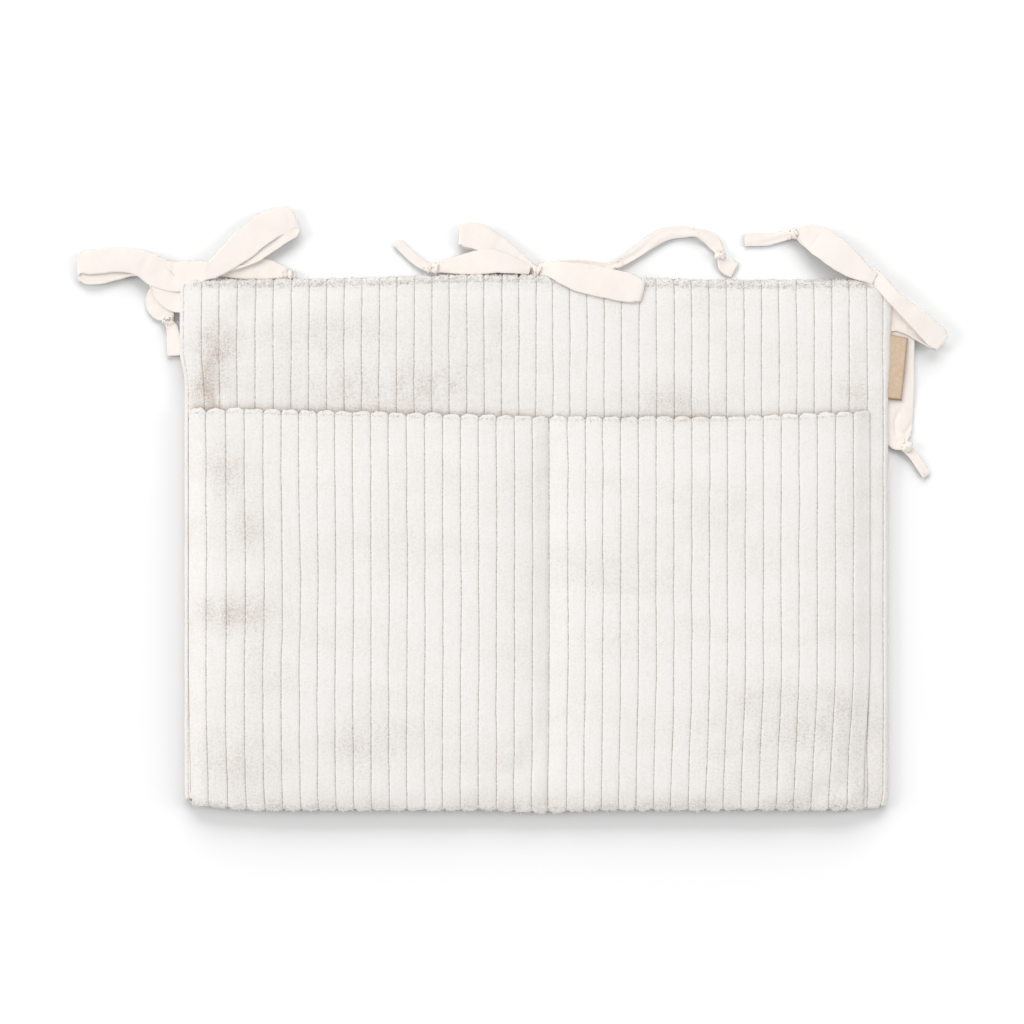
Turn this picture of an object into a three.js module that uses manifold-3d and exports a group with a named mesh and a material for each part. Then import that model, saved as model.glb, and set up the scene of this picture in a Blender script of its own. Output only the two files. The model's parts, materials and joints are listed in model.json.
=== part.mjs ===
// A padded two-pocket crib organizer in jumbo corduroy, laid flat with its six ties in loose bows.
// Millimetres. The origin is the middle of the flat back, which lies on z = 0.
// +X runs along the pocket mouth, +Y points to the ties and +Z to the front.
import * as THREE from 'three';
import { mergeVertices } from 'three/addons/utils/BufferGeometryUtils.js';
import Module from 'manifold-3d';

// Panel
const panelWidth = 600;
const panelHeight = 450;
const cornerDrop = 6;
const rimBand = 2;
const shoulderBand = 22;
const seamTuck = 1.5;
const backCloth = 1.0;
const paddingLoft = 7.0;
const paddingInset = 8;
const faceCloth = 1.5;
const sideFall = 3.5;
const endFall = 2.5;
const crownBand = 50;
const topStitchSink = 1.1;
const topStitchDistance = 8;

// Corduroy
const ribHeight = 2.5;
const frontRibPitch = 14.9;
const pocketRibCount = 38;
const scallop = 1.5;
const lastColumnGap = 0.5;

// Pocket
const pocketSideRise = 339.5;
const mouthSag = 6;
const pocketLeftInset = 3.5;
const pocketRightInset = 17;
const dividerRib = 20;
const pocketRoom = 7;
const pocketSlope = 60;
const pocketFloorSlope = 105;
const hemDepth = 10;
const hemFold = 1.4;
const hemStitchSink = 0.9;
const hemRoundRow = 3;
const hemRoundDrop = 1;

// Ties
const tieThickness = 1.2;
const tabWidth = 15;
const tabThickness = 0.9;
const tieInset = 23;
const knotOut = 8.5;
const knotLength = 16;
const knotRadius = 7.2;
const knotHeight = 13;
const tailKnotRadius = 5;
const loopFold = 2.2;
const foldSteps = 5;
const hingeReach = 8.15;

// Side label
const labelWidth = 16.5;
const labelHeight = 56;
const labelTape = 0.5;
const labelFromTop = 44.5;
const labelLevel = 5;

// Clearances
const layerGap = 0.3;
const edgeGap = 0.6;

const halfWidth = panelWidth / 2;
const halfHeight = panelHeight / 2;
const tieSpacing = halfWidth - tieInset;
const backLevel = backCloth + layerGap;
const tabLevel = backLevel + tabThickness + layerGap;
const crownLevel = backLevel + paddingLoft + layerGap + faceCloth + ribHeight;
const pocketLeft = -halfWidth + pocketLeftInset;
const pocketRight = halfWidth - pocketRightInset;
const pocketRibPitch = (pocketRight - pocketLeft) / pocketRibCount;
const dividerX = pocketLeft + dividerRib * pocketRibPitch;
const mouthSide = -halfHeight + pocketSideRise;
const knotY = halfHeight + knotOut;

// Materials
const corduroy = new THREE.MeshStandardMaterial({ color: 0xf0ece8, roughness: 0.95, metalness: 0 });
const lining = new THREE.MeshStandardMaterial({ color: 0xefe6dc, roughness: 0.9, metalness: 0 });
const wadding = new THREE.MeshStandardMaterial({ color: 0xfafafa, roughness: 1, metalness: 0 });
const cotton = new THREE.MeshStandardMaterial({ color: 0xfbf2ea, roughness: 0.85, metalness: 0 });
const tape = new THREE.MeshStandardMaterial({ color: 0xd4bda5, roughness: 0.7, metalness: 0 });

const wasm = await Module();
wasm.setup();

// Solids

function toSolid(geometry) {
  const bare = geometry.clone();
  bare.deleteAttribute('normal');
  bare.deleteAttribute('uv');
  const merged = mergeVertices(bare, 1e-4);
  return new wasm.Manifold(new wasm.Mesh({
    numProp: 3,
    vertProperties: new Float32Array(merged.attributes.position.array),
    triVerts: new Uint32Array(merged.index.array),
  }));
}

function toGeometry(solid) {
  const mesh = solid.getMesh();
  const geometry = new THREE.BufferGeometry();
  geometry.setAttribute('position', new THREE.BufferAttribute(new Float32Array(mesh.vertProperties), 3));
  geometry.setIndex(new THREE.BufferAttribute(new Uint32Array(mesh.triVerts), 1));
  geometry.computeVertexNormals();
  return geometry;
}

function join(geometries) {
  const solids = geometries.map(toSolid);
  return toGeometry(solids.reduce((whole, solid) => whole.add(solid)));
}

function indexedGeometry(points, faces) {
  const geometry = new THREE.BufferGeometry();
  geometry.setAttribute('position', new THREE.Float32BufferAttribute(points, 3));
  geometry.setIndex(faces);
  geometry.computeVertexNormals();
  return geometry;
}

function named(name, geometry, material) {
  const mesh = new THREE.Mesh(geometry, material);
  mesh.name = name;
  return mesh;
}

// Cloth layers: a closed body between a finely divided top and a coarser underside

// Triangles between two rows of points that share their ends, whatever their counts.
function zip(faces, upper, lower, upperX, lowerX, flip) {
  let i = 0;
  let j = 0;
  while (i < upper.length - 1 || j < lower.length - 1) {
    const stepUpper = j === lower.length - 1
      || (i < upper.length - 1 && upperX[i + 1] <= lowerX[j + 1]);
    const corner = stepUpper ? upper[i + 1] : lower[j + 1];
    const face = [upper[i], lower[j], corner];
    faces.push(...(flip ? face.reverse() : face));
    if (stepUpper) i += 1;
    else j += 1;
  }
}

function clothLayer({ topX, underX, rows, top, under }) {
  const points = [];
  const faces = [];
  const grid = (xs, place, upwards) => {
    const ids = rows.map((row) => xs.map((x) => {
      points.push(...place(x, row));
      return points.length / 3 - 1;
    }));
    for (let r = 0; r < rows.length - 1; r += 1) {
      for (let c = 0; c < xs.length - 1; c += 1) {
        const [a, b, d, e] = [ids[r][c], ids[r][c + 1], ids[r + 1][c + 1], ids[r + 1][c]];
        if (upwards) faces.push(a, b, d, a, d, e);
        else faces.push(a, d, b, a, e, d);
      }
    }
    return ids;
  };
  const upper = grid(topX, top, true);
  const lower = grid(underX, under, false);
  const last = rows.length - 1;
  zip(faces, upper[0], lower[0], topX, underX, false);
  zip(faces, upper[last], lower[last], topX, underX, true);
  for (let r = 0; r < last; r += 1) {
    const ends = [[upper[r][0], upper[r + 1][0], lower[r][0], lower[r + 1][0]]];
    ends.push([upper[r + 1].at(-1), upper[r].at(-1), lower[r + 1].at(-1), lower[r].at(-1)]);
    for (const [a, b, c, d] of ends) faces.push(a, b, c, b, d, c);
  }
  return indexedGeometry(points, faces);
}

// Straight interpolation of a rule that is only worked out on given lines.
function between(lines, rule) {
  const values = lines.map(rule);
  return (x) => {
    const i = Math.max(0, Math.min(lines.length - 2, lines.findLastIndex((line) => line <= x)));
    const t = (x - lines[i]) / (lines[i + 1] - lines[i]);
    return values[i] + t * (values[i + 1] - values[i]);
  };
}

function mirrored(distances, half) {
  const lower = distances.map((d) => -half + d);
  return [...lower, ...lower.map((x) => -x).reverse()];
}

// Quarter-round shoulder, 1 at the edge and 0 where the crown is flat.
function shoulder(distance) {
  const reach = Math.max(0, 1 - distance / crownBand);
  return 1 - Math.sqrt(1 - reach * reach);
}

const sideLines = mirrored([0, rimBand, paddingInset, shoulderBand, crownBand], halfWidth);
const endLines = [
  -halfHeight,
  -halfHeight + paddingInset,
  -halfHeight + crownBand,
  halfHeight - crownBand,
  halfHeight - topStitchDistance * 2,
  halfHeight - topStitchDistance,
  halfHeight,
];
const fallAcross = between(sideLines, (x) => sideFall * shoulder(halfWidth - Math.abs(x)));
const fallAlong = between(endLines, (y) => endFall * shoulder(halfHeight - Math.abs(y)));

function crown(x, y) {
  return crownLevel - fallAcross(x) - fallAlong(y);
}

// Rib section: a flat-topped wale with round shoulders, 0 at its top and -1 in the groove.
function wale(x, start, pitch) {
  const phase = ((x - start) / pitch) % 1;
  const s = Math.abs(2 * phase - 1);
  return Math.sqrt(Math.max(0, 1 - s ** 4)) - 1;
}

function ribColumns(start, end, pitch) {
  const columns = [];
  for (let groove = start; groove < end - lastColumnGap; groove += pitch) {
    for (const share of [0, 0.1, 0.5, 0.9]) {
      const x = groove + share * pitch;
      if (x < end - lastColumnGap) columns.push(x);
    }
  }
  return [...columns, end];
}

// The outline turns in at the corners, and every wale end stands out of it as a scallop.
function cornerTurn(x) {
  const inside = Math.max(0, cornerDrop - (halfWidth - Math.abs(x)));
  return cornerDrop - Math.sqrt(cornerDrop ** 2 - inside ** 2);
}

function panelRow(x, row, relief) {
  if (row === -halfHeight) return row + cornerTurn(x) - scallop * (1 + relief);
  if (row === halfHeight) return row - cornerTurn(x) + scallop * (1 + relief);
  return row;
}

function frontRelief(x) {
  return wale(x, -halfWidth, frontRibPitch);
}

function buildFrontPanel() {
  const stitchRow = halfHeight - topStitchDistance;
  const top = (x, row) => {
    const sink = row === stitchRow ? topStitchSink : 0;
    const z = crown(x, row) + ribHeight * frontRelief(x) - sink;
    return [x, panelRow(x, row, frontRelief(x)), z];
  };
  const under = (x, row) => {
    const inX = halfWidth - Math.abs(x);
    const inY = halfHeight - Math.abs(row);
    const overPadding = inX > paddingInset - layerGap && inY > paddingInset - layerGap;
    const rim = row === halfHeight ? tabLevel : backLevel;
    const z = overPadding ? crown(x, row) - ribHeight - faceCloth : rim;
    const tucked = x * (inX === 0 ? 1 - seamTuck / halfWidth : 1);
    const y = panelRow(x, row, -1);
    return [tucked, Math.sign(y) * Math.min(Math.abs(y), halfHeight - seamTuck), z];
  };
  const topX = ribColumns(-halfWidth, halfWidth, frontRibPitch);
  return clothLayer({ topX, underX: sideLines, rows: endLines, top, under });
}

function buildPadding() {
  const underX = sideLines.filter((x) => halfWidth - Math.abs(x) >= paddingInset);
  const rows = endLines.filter((y) => halfHeight - Math.abs(y) >= paddingInset);
  const top = (x, row) => [x, row, crown(x, row) - ribHeight - faceCloth - layerGap];
  const under = (x, row) => [x, row, backLevel];
  return clothLayer({ topX: underX, underX, rows, top, under });
}

function buildBackPanel() {
  const w = halfWidth - seamTuck;
  const h = halfHeight - seamTuck;
  const outline = new THREE.Shape();
  outline.moveTo(-w + cornerDrop, -h);
  outline.lineTo(w - cornerDrop, -h);
  outline.quadraticCurveTo(w, -h, w, -h + cornerDrop);
  outline.lineTo(w, h - cornerDrop);
  outline.quadraticCurveTo(w, h, w - cornerDrop, h);
  outline.lineTo(-w + cornerDrop, h);
  outline.quadraticCurveTo(-w, h, -w, h - cornerDrop);
  outline.lineTo(-w, -h + cornerDrop);
  outline.quadraticCurveTo(-w, -h, -w + cornerDrop, -h);
  return new THREE.ExtrudeGeometry(outline, { depth: backCloth, bevelEnabled: false, curveSegments: 4 });
}

// The pocket panel is sewn down at its sides, its foot and the divider, and stands off between them.
function buildPocketPanel() {
  const edges = [pocketLeft, dividerX, pocketRight];
  const room = (x) => {
    const reach = Math.min(...edges.map((edge) => Math.abs(x - edge))) / pocketSlope;
    return Math.sin(Math.min(1, Math.max(0, reach)) * Math.PI / 2);
  };
  const roomLines = edges.flatMap((edge) => [0, 0.03, 0.2, 0.5, 1].flatMap((share) => [
    edge - share * pocketSlope,
    edge + share * pocketSlope,
  ]));
  const crownLines = sideLines.filter((x) => Math.min(x - pocketLeft, pocketRight - x) > 1);
  const lines = [...new Set([...roomLines, ...crownLines])];
  const underX = lines.filter((x) => x >= pocketLeft && x <= pocketRight).sort((a, b) => a - b);
  const foot = -halfHeight;
  const lift = (row) => Math.min(1, (row - foot) / pocketFloorSlope) ** 0.7;
  const rows = [
    foot,
    foot + paddingInset,
    foot + crownBand,
    foot + pocketFloorSlope,
    mouthSide - hemDepth,
    mouthSide - hemRoundRow,
    mouthSide,
  ];
  const relief = (x) => wale(x, pocketLeft, pocketRibPitch);
  const roomAt = between(underX, room);
  const pocketY = (x, row, shape) => {
    if (row === foot) return panelRow(x, row, shape);
    if (row < mouthSide - hemDepth) return row;
    const across = (x - (pocketLeft + pocketRight) / 2) / ((pocketRight - pocketLeft) / 2);
    const edge = row === mouthSide ? scallop * (1 + shape) : 0;
    return row - mouthSag * (1 - across * across) + edge;
  };
  const floor = (x, row) => crown(x, row) + layerGap + pocketRoom * roomAt(x) * lift(row);
  const under = (x, row) => {
    const folded = row > mouthSide - hemDepth ? -hemFold * roomAt(x) : 0;
    return [x, pocketY(x, row, -1), floor(x, row) + folded];
  };
  const top = (x, row) => {
    const atHem = row === mouthSide - hemDepth ? hemStitchSink : 0;
    const rounded = row === mouthSide ? hemRoundDrop : 0;
    const z = floor(x, row) + faceCloth + ribHeight * (1 + relief(x)) - atHem - rounded;
    return [x, pocketY(x, row, relief(x)), z];
  };
  const topX = ribColumns(pocketLeft, pocketRight, pocketRibPitch);
  return clothLayer({ topX, underX, rows, top, under });
}

// Ribbon: a flat band swept through stations that give its middle, its crosswise direction and its width

function bandGeometry(stations) {
  const points = [];
  const faces = [];
  stations.forEach((station, i) => {
    const before = stations[Math.max(0, i - 1)].at;
    const after = stations[Math.min(stations.length - 1, i + 1)].at;
    const along = after.clone().sub(before).normalize();
    const normal = station.across.clone().cross(along).normalize().multiplyScalar(station.thickness / 2);
    const half = station.across.clone().multiplyScalar(station.width / 2);
    for (const [side, face] of [[-1, -1], [1, -1], [1, 1], [-1, 1]]) {
      const corner = station.at.clone().addScaledVector(half, side).addScaledVector(normal, face);
      points.push(corner.x, corner.y, corner.z);
    }
  });
  for (let i = 0; i < stations.length - 1; i += 1) {
    for (let k = 0; k < 4; k += 1) {
      const [a, b] = [4 * i + k, 4 * i + (k + 1) % 4];
      faces.push(a, a + 4, b, b, a + 4, b + 4);
    }
  }
  const end = 4 * (stations.length - 1);
  faces.push(0, 1, 2, 0, 2, 3, end, end + 2, end + 1, end, end + 3, end + 2);
  return indexedGeometry(points, faces);
}

// A smooth run through rows of x, y, z and width. side is 1 outwards and -1 on the way back.
// Beside the bow knot the band is turned square, so that no corner of it reaches past x = clear.
function run(rows, steps, side, clear = hingeReach + layerGap) {
  const curve = new THREE.CatmullRomCurve3(rows.map(([x, y, z]) => new THREE.Vector3(x, y, z)));
  const widths = new THREE.CatmullRomCurve3(rows.map((row, i) => new THREE.Vector3(row[3], i, 0)));
  const stations = [];
  for (let i = 0; i <= steps; i += 1) {
    const t = i / steps;
    const along = curve.getTangent(t).setZ(0).normalize();
    const across = new THREE.Vector3(-along.y, along.x, 0).multiplyScalar(side);
    const at = curve.getPoint(t);
    const width = widths.getPoint(t).x;
    const lean = Math.max(0, (Math.abs(at.x) - clear) / (width / 2));
    if (Math.abs(across.x) > lean) {
      across.set(Math.sign(across.x) * lean, Math.sign(across.y) * Math.sqrt(1 - lean * lean), 0);
    }
    stations.push({ at, across, width, thickness: tieThickness });
  }
  return stations;
}

// The loop goes out on its upper run, turns over its fold and comes back on the lower run.
function loopBand(out, back) {
  const upper = run(out, 11, 1);
  const lower = run(back, 8, -1);
  const fold = [];
  const start = upper.at(-1);
  const finish = lower[0];
  const outwards = start.at.clone().sub(upper.at(-2).at).setZ(0).normalize();
  for (let i = 1; i < foldSteps; i += 1) {
    const t = i / foldSteps;
    const at = start.at.clone().lerp(finish.at, 0.5 - 0.5 * Math.cos(t * Math.PI));
    at.addScaledVector(outwards, loopFold * Math.sin(t * Math.PI));
    const across = start.across.clone().lerp(finish.across, t).normalize();
    const width = start.width + t * (finish.width - start.width);
    fold.push({ at, across, width, thickness: tieThickness });
  }
  return bandGeometry([...upper, ...fold, ...lower]);
}

// An overhand knot: a core with two turns of the ribbon drawn round it.
function tailKnot([x, y, heading]) {
  const core = new THREE.SphereGeometry(tailKnotRadius, 8, 5).scale(1, 0.8, 0.7);
  const turns = [-28, 32].map((lean) => {
    const wrap = new THREE.TorusGeometry(tailKnotRadius * 0.72, tailKnotRadius * 0.32, 4, 10);
    wrap.scale(0.85, 1, 1.5).rotateY(Math.PI / 2).rotateZ(THREE.MathUtils.degToRad(lean));
    return wrap;
  });
  const low = tailKnotRadius * 0.89 + layerGap;
  return [core, ...turns].map((shape) => shape
    .rotateZ(THREE.MathUtils.degToRad(heading))
    .translate(x, y, low));
}

// Where both runs of the loop and the tail are drawn together beside the bow knot.
function gather(side, y, z) {
  const length = 5;
  const neck = new THREE.SphereGeometry(length, 10, 8);
  neck.scale(1, 1.25, 1).translate(side * (hingeReach + layerGap / 2 + length), y, z);
  return neck;
}

function tieWing(name, side, shape) {
  const pieces = [loopBand(shape.out, shape.back), gather(side, shape.neckY, shape.neckZ)];
  if (shape.tail) {
    const tail = run(shape.tail, 2 * shape.tail.length, 1);
    pieces.push(bandGeometry(tail), ...tailKnot(shape.knot));
  }
  return named(name, join(pieces), cotton);
}

// Bow knot: the ribbon wrapped round the middle of the bow, with the tab that is sewn into the top seam.
function bowKnot(name) {
  const profile = [];
  const steps = 8;
  for (let i = 0; i <= steps; i += 1) {
    const t = i / steps;
    const bulge = 0.72 + 0.28 * Math.sin(t * Math.PI) - 0.05 * (i % 2);
    profile.push(new THREE.Vector2(knotRadius * bulge, (t - 0.5) * knotLength));
  }
  profile.unshift(new THREE.Vector2(0, -knotLength / 2));
  profile.push(new THREE.Vector2(0, knotLength / 2));
  const wrap = new THREE.LatheGeometry(profile, 16).rotateZ(Math.PI / 2);
  wrap.scale(1, 1, knotHeight / (2 * knotRadius)).translate(0, 0, knotHeight / 2 + layerGap);
  const tabDepth = knotOut + topStitchDistance - layerGap * 3;
  const tab = new THREE.BoxGeometry(tabWidth, tabDepth, tabThickness);
  tab.translate(0, -tabDepth / 2, backLevel + tabThickness / 2);
  const neck = new THREE.BoxGeometry(tabWidth * 0.6, knotRadius, knotHeight * 0.3);
  neck.translate(0, -knotRadius / 4, backLevel + knotHeight * 0.15);
  return named(name, join([wrap, tab, neck]), cotton);
}

// Rows of the ties, from the middle of their own bow knot:
// x, y, height above the floor, width of the ribbon.
// A loop has its upper run out and its lower run back. A knot has x, y and the heading of its tail.
const leftOuter = {
  neckY: 0.5,
  neckZ: 5.6,
  out: [[-10, 0.5, 8, 11], [-20, 0.6, 9, 14], [-30, -2.5, 9.3, 21], [-42, -3, 9.5, 23.5],
    [-55, 2.5, 9.5, 22], [-66, 7.5, 9.3, 20.5], [-80, 10.3, 9, 20], [-97, 9.5, 8, 20], [-111, 4, 6, 20]],
  back: [[-111, 2, 1.6, 20], [-98, 0.6, 1.5, 20], [-77, 3, 2.5, 19], [-55, 4.5, 4.5, 18], [-28, 2.5, 6, 13],
    [-12, 1, 5, 8]],
  tail: [[-11, 1.5, 4, 8], [-21, 0.5, 3, 12], [-31, -7.5, 1.8, 20], [-41, -15, 1.3, 25],
    [-46, -23, 1.3, 25], [-44.5, -32, 2, 17], [-39.5, -39, 4, 7], [-34, -49, 2, 12], [-31.5, -59, 1.2, 15],
    [-30.8, -69, 1.2, 14]],
  knot: [-39.5, -38.5, -60],
};
const leftInner = {
  neckY: 1.5,
  neckZ: 5.6,
  out: [[10, 3, 8, 10], [20, 12.5, 9, 20], [37, 24.5, 9.5, 25], [53, 34.5, 9, 25], [66, 41, 7, 23.5]],
  back: [[66, 36, 1.8, 23], [50, 25.5, 2, 23], [35, 15.5, 4, 20], [21, 8, 5.5, 14], [11, 2, 5, 8]],
  tail: [[11, 1, 4, 8], [28, 2.5, 1.6, 15], [45, 3.6, 1.3, 17], [58, 2.4, 1.8, 13], [67, 0.6, 4, 7],
    [74, -0.4, 2.5, 7]],
  knot: [67, 0.6, -15],
};
const centreLeft = {
  neckY: 2,
  neckZ: 5.8,
  out: [[-10, 3.5, 7, 10], [-21, 13, 6.5, 19], [-44, 28, 6.5, 24], [-57, 32.5, 6, 22.5],
    [-65, 33.5, 5.5, 21]],
  back: [[-65, 31, 1.5, 20], [-54, 28, 1.5, 21], [-40, 21, 2, 19], [-22, 10, 3, 14], [-11, 3, 4, 8]],
  tail: [[-10, 3, 9, 9], [-22, 8.5, 10.8, 16], [-38, 9.5, 10.8, 22], [-60, 5.4, 5.5, 16.5],
    [-76, 4.4, 1.8, 12], [-88, 4, 4, 7], [-97, 7.5, 2, 9.5], [-109, 16.5, 1.2, 10], [-119, 26, 1.2, 9]],
  knot: [-87.5, 4, 165],
};
const centreRight = {
  neckY: 2,
  neckZ: 7,
  out: [[10, 2.5, 10, 9], [17, 0, 14.3, 14.5], [26, -4, 16.6, 20], [36, -7.4, 17.8, 23.5],
    [56, -11, 18.3, 24.5], [87, -17.6, 18, 21.5]],
  back: [[87, -17.6, 14, 21.5], [57, -11, 14, 22.5], [36, -5, 13.8, 19], [21, 0.5, 12.6, 12], [11, 3, 9, 7]],
  tail: [[11, 2.5, 4, 8], [30, 5, 2, 10], [56, 5.5, 1.2, 10], [74, 9.6, 1.2, 10], [90, 17, 1.2, 10.5],
    [106, 27, 1.2, 12.5], [119, 32.5, 1.4, 12], [131, 34, 1.8, 10.5], [142, 32, 4, 7], [150, 26.5, 2, 10],
    [157, 16.5, 1.4, 7], [161.5, 9, 1.2, 17], [164.5, 1.5, 1.2, 18]],
  knot: [141.5, 32, -25],
};
const rightInner = {
  neckY: 2.5,
  neckZ: 5.6,
  out: [[-10, 4.5, 8, 9], [-18, 13.5, 9, 19], [-29, 23, 10, 25], [-42, 31.5, 9.5, 24], [-53, 35.5, 7, 18.5]],
  back: [[-53, 34, 2.4, 18], [-40, 28, 2.8, 21], [-26, 17.5, 4, 18], [-15, 8, 5.5, 12], [-11, 3.5, 5, 8]],
  tail: [[-11, 2.5, 3.5, 8], [-28, 19, 1.4, 12], [-46, 31, 1.2, 13], [-57, 34, 1.8, 12], [-66, 33, 4, 7],
    [-77, 29, 1.6, 11], [-90, 27.2, 1.2, 12], [-103, 27, 1.2, 12.5]],
  knot: [-66, 33, 195],
};
const rightOuter = {
  neckY: 2,
  neckZ: 6.5,
  out: [[10, 1, 10, 9], [19, -6.5, 12, 11.5], [30, -20, 12.2, 13.5], [42, -33, 11.5, 15],
    [56, -47, 10, 16.5], [69, -59, 8.5, 17]],
  back: [[68, -58, 4.6, 17], [54, -50, 4.2, 17.5], [42, -43, 4.2, 18], [33, -40, 4.2, 19.5],
    [26.5, -39, 4.2, 20.5]],
};
// This tail leaves from behind the panel's side, so its rows start at the side edge, below the bow.
const rightTailDrop = 38;
const rightTailRows = [[12.45, 0, 1, 26], [13, -22, 1, 25], [13.5, -52, 1, 24.5], [12.8, -80, 1, 22],
  [13.2, -98, 1.4, 15], [16, -110.5, 4, 7], [21, -120, 1.8, 8.5], [27, -129, 1.3, 9],
  [34, -137.5, 1.2, 7.5]];
const rightTailKnot = [16, -110.5, -67];

function buildRightTail() {
  const band = bandGeometry(run(rightTailRows, 20, 1, -halfWidth));
  return named('right_outer_tail', join([band, ...tailKnot(rightTailKnot)]), cotton);
}

// Side label: a bare tape folded double, its fold outwards and its cut edges in the side seam.
function buildLabel() {
  const outer = labelTape * 2 + layerGap;
  const section = new THREE.Shape();
  section.moveTo(0, 0);
  section.lineTo(labelWidth - outer / 2, 0);
  section.absarc(labelWidth - outer / 2, outer / 2, outer / 2, -Math.PI / 2, Math.PI / 2, false);
  section.lineTo(0, outer);
  section.lineTo(0, outer - labelTape);
  section.lineTo(labelWidth - outer / 2, outer - labelTape);
  section.absarc(labelWidth - outer / 2, outer / 2, layerGap / 2, Math.PI / 2, -Math.PI / 2, true);
  section.lineTo(0, labelTape);
  section.closePath();
  const settings = { depth: labelHeight, bevelEnabled: false, curveSegments: 5 };
  const geometry = new THREE.ExtrudeGeometry(section, settings).rotateX(Math.PI / 2);
  return named('side_label', geometry, tape);
}

const organizer = new THREE.Group();
organizer.add(named('back_panel', buildBackPanel(), lining));
organizer.add(named('padding', buildPadding(), wadding));
organizer.add(named('front_panel', buildFrontPanel(), corduroy));
organizer.add(named('pocket_panel', buildPocketPanel(), corduroy));

const label = buildLabel();
label.position.set(halfWidth - edgeGap / 2, halfHeight - labelFromTop, labelLevel - labelTape);
organizer.add(label);

function addBow(side, x, [leftName, leftRows], [rightName, rightRows]) {
  const bow = new THREE.Group();
  bow.position.set(x, knotY, 0);
  bow.add(bowKnot(`${side}_knot`));
  bow.add(tieWing(leftName, -1, leftRows));
  bow.add(tieWing(rightName, 1, rightRows));
  organizer.add(bow);
}
addBow('left', -tieSpacing, ['left_outer_tie', leftOuter], ['left_inner_tie', leftInner]);
addBow('centre', 0, ['centre_left_tie', centreLeft], ['centre_right_tie', centreRight]);
addBow('right', tieSpacing, ['right_inner_tie', rightInner], ['right_outer_tie', rightOuter]);

const rightTail = buildRightTail();
rightTail.position.set(halfWidth, knotY - rightTailDrop, 0);
organizer.add(rightTail);

export default organizer;
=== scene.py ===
# Looks of the crib organizer: a padded two-pocket panel in cream jumbo corduroy with six cotton ties.
# Sizes are in millimetres and become metres where a mesh is made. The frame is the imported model.
import json
import math

import bpy
import numpy as np
from bpy.props import FloatProperty, FloatVectorProperty, IntProperty, PointerProperty
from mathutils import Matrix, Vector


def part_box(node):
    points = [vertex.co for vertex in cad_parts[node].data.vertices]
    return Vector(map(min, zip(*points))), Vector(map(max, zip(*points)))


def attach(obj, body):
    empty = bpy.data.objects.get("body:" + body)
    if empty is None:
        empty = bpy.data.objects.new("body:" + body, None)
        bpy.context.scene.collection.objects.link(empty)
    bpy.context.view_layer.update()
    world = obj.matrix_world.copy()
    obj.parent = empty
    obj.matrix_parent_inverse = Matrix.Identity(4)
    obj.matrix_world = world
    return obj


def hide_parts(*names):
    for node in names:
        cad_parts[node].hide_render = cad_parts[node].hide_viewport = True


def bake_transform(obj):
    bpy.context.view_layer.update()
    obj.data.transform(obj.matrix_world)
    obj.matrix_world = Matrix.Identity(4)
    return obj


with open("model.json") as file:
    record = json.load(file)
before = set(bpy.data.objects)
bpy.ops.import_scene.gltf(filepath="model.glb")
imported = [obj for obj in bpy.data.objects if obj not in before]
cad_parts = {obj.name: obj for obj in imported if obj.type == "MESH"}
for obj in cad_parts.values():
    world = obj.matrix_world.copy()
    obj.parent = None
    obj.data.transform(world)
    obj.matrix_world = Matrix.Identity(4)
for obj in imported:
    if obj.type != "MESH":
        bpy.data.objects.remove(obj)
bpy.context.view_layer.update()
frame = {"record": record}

bl_info = {
    "name": "Corduroy crib organizer",
    "version": (1, 0, 0),
    "blender": (4, 5, 0),
    "location": "3D View > Sidebar > Organizer",
    "description": "Builds the cloth, ties, stitching and studio of a padded crib organizer",
    "category": "Add Mesh",
}

MM = 0.001


def box_mm(node):
    """Lowest and highest corner of a node of the frame, in millimetres."""
    low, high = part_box(node)
    return np.array(low) / MM, np.array(high) / MM


FRONT_HIGH = box_mm("front_panel")[1]
POCKET_LOW, POCKET_HIGH = box_mm("pocket_panel")
STATIONS = {m["name"].split("_")[0]: np.array(m["pos_m"]) / MM
            for m in frame["record"]["mounts"] if m["kind"] == "other"}

# Panel. Its wales are numbered from its left edge, and a strip of one more stands before the first groove.
HALF_WIDTH = FRONT_HIGH[0] + 1.0
HALF_HEIGHT = 226.0
CROWN = FRONT_HIGH[2]
SEAM_LEVEL = 1.9
# How far the crown falls to the side edges and to the ends, and how wide the band is in which it falls
SIDE_FALL, END_FALL, CROWN_BAND = 3.5, 2.5, 50.0
EDGE_TURN = 3.6
CORNER_ROUND = 11.0
FRONT_PITCH = 14.915
FRONT_WALES = 2 * HALF_WIDTH / FRONT_PITCH
LEFT_STRIP, LEFT_STRIP_WIDTH = 0.3, 4.1
TOP_STITCH = 7.5
FACE_CLOTH = 1.5

# Pocket. Its wales are numbered from its left edge, and the divider takes the place of a groove.
POCKET_SIDES = (POCKET_LOW[0] - 0.4, POCKET_HIGH[0] + 1.6)
LAYER_GAP = 0.3
# How far the pocket stands off the front, and over what distance from its seams and from its foot it rises
POCKET_ROOM, POCKET_SLOPE, FLOOR_SLOPE = 7.0, 60.0, 105.0
# How much thicker its padded cloth is than the front's, and how far its foot reaches below the front's
POCKET_LOFT, POCKET_OVERHANG = 1.9, 1.0
# Height of its mouth on the panel, taken as level
POCKET_TOP = 112.0
DIVIDER_RIB = 19
RIBS_RIGHT_OF_DIVIDER = 18
POCKET_WALES = DIVIDER_RIB + 1 + RIBS_RIGHT_OF_DIVIDER
DIVIDER_RIB_LEFT, DIVIDER = -3.2, 10.5
HEM_FOLD = 1.4

# Ties
RIBBON_WIDTH = 25.0
RIBBON_CLOTH = 0.6
EDGE_TUCK = 0.5

# Bands of a wave texture in one unit of its scale
WAVE_BANDS = 3.18


# Numbers

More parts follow.
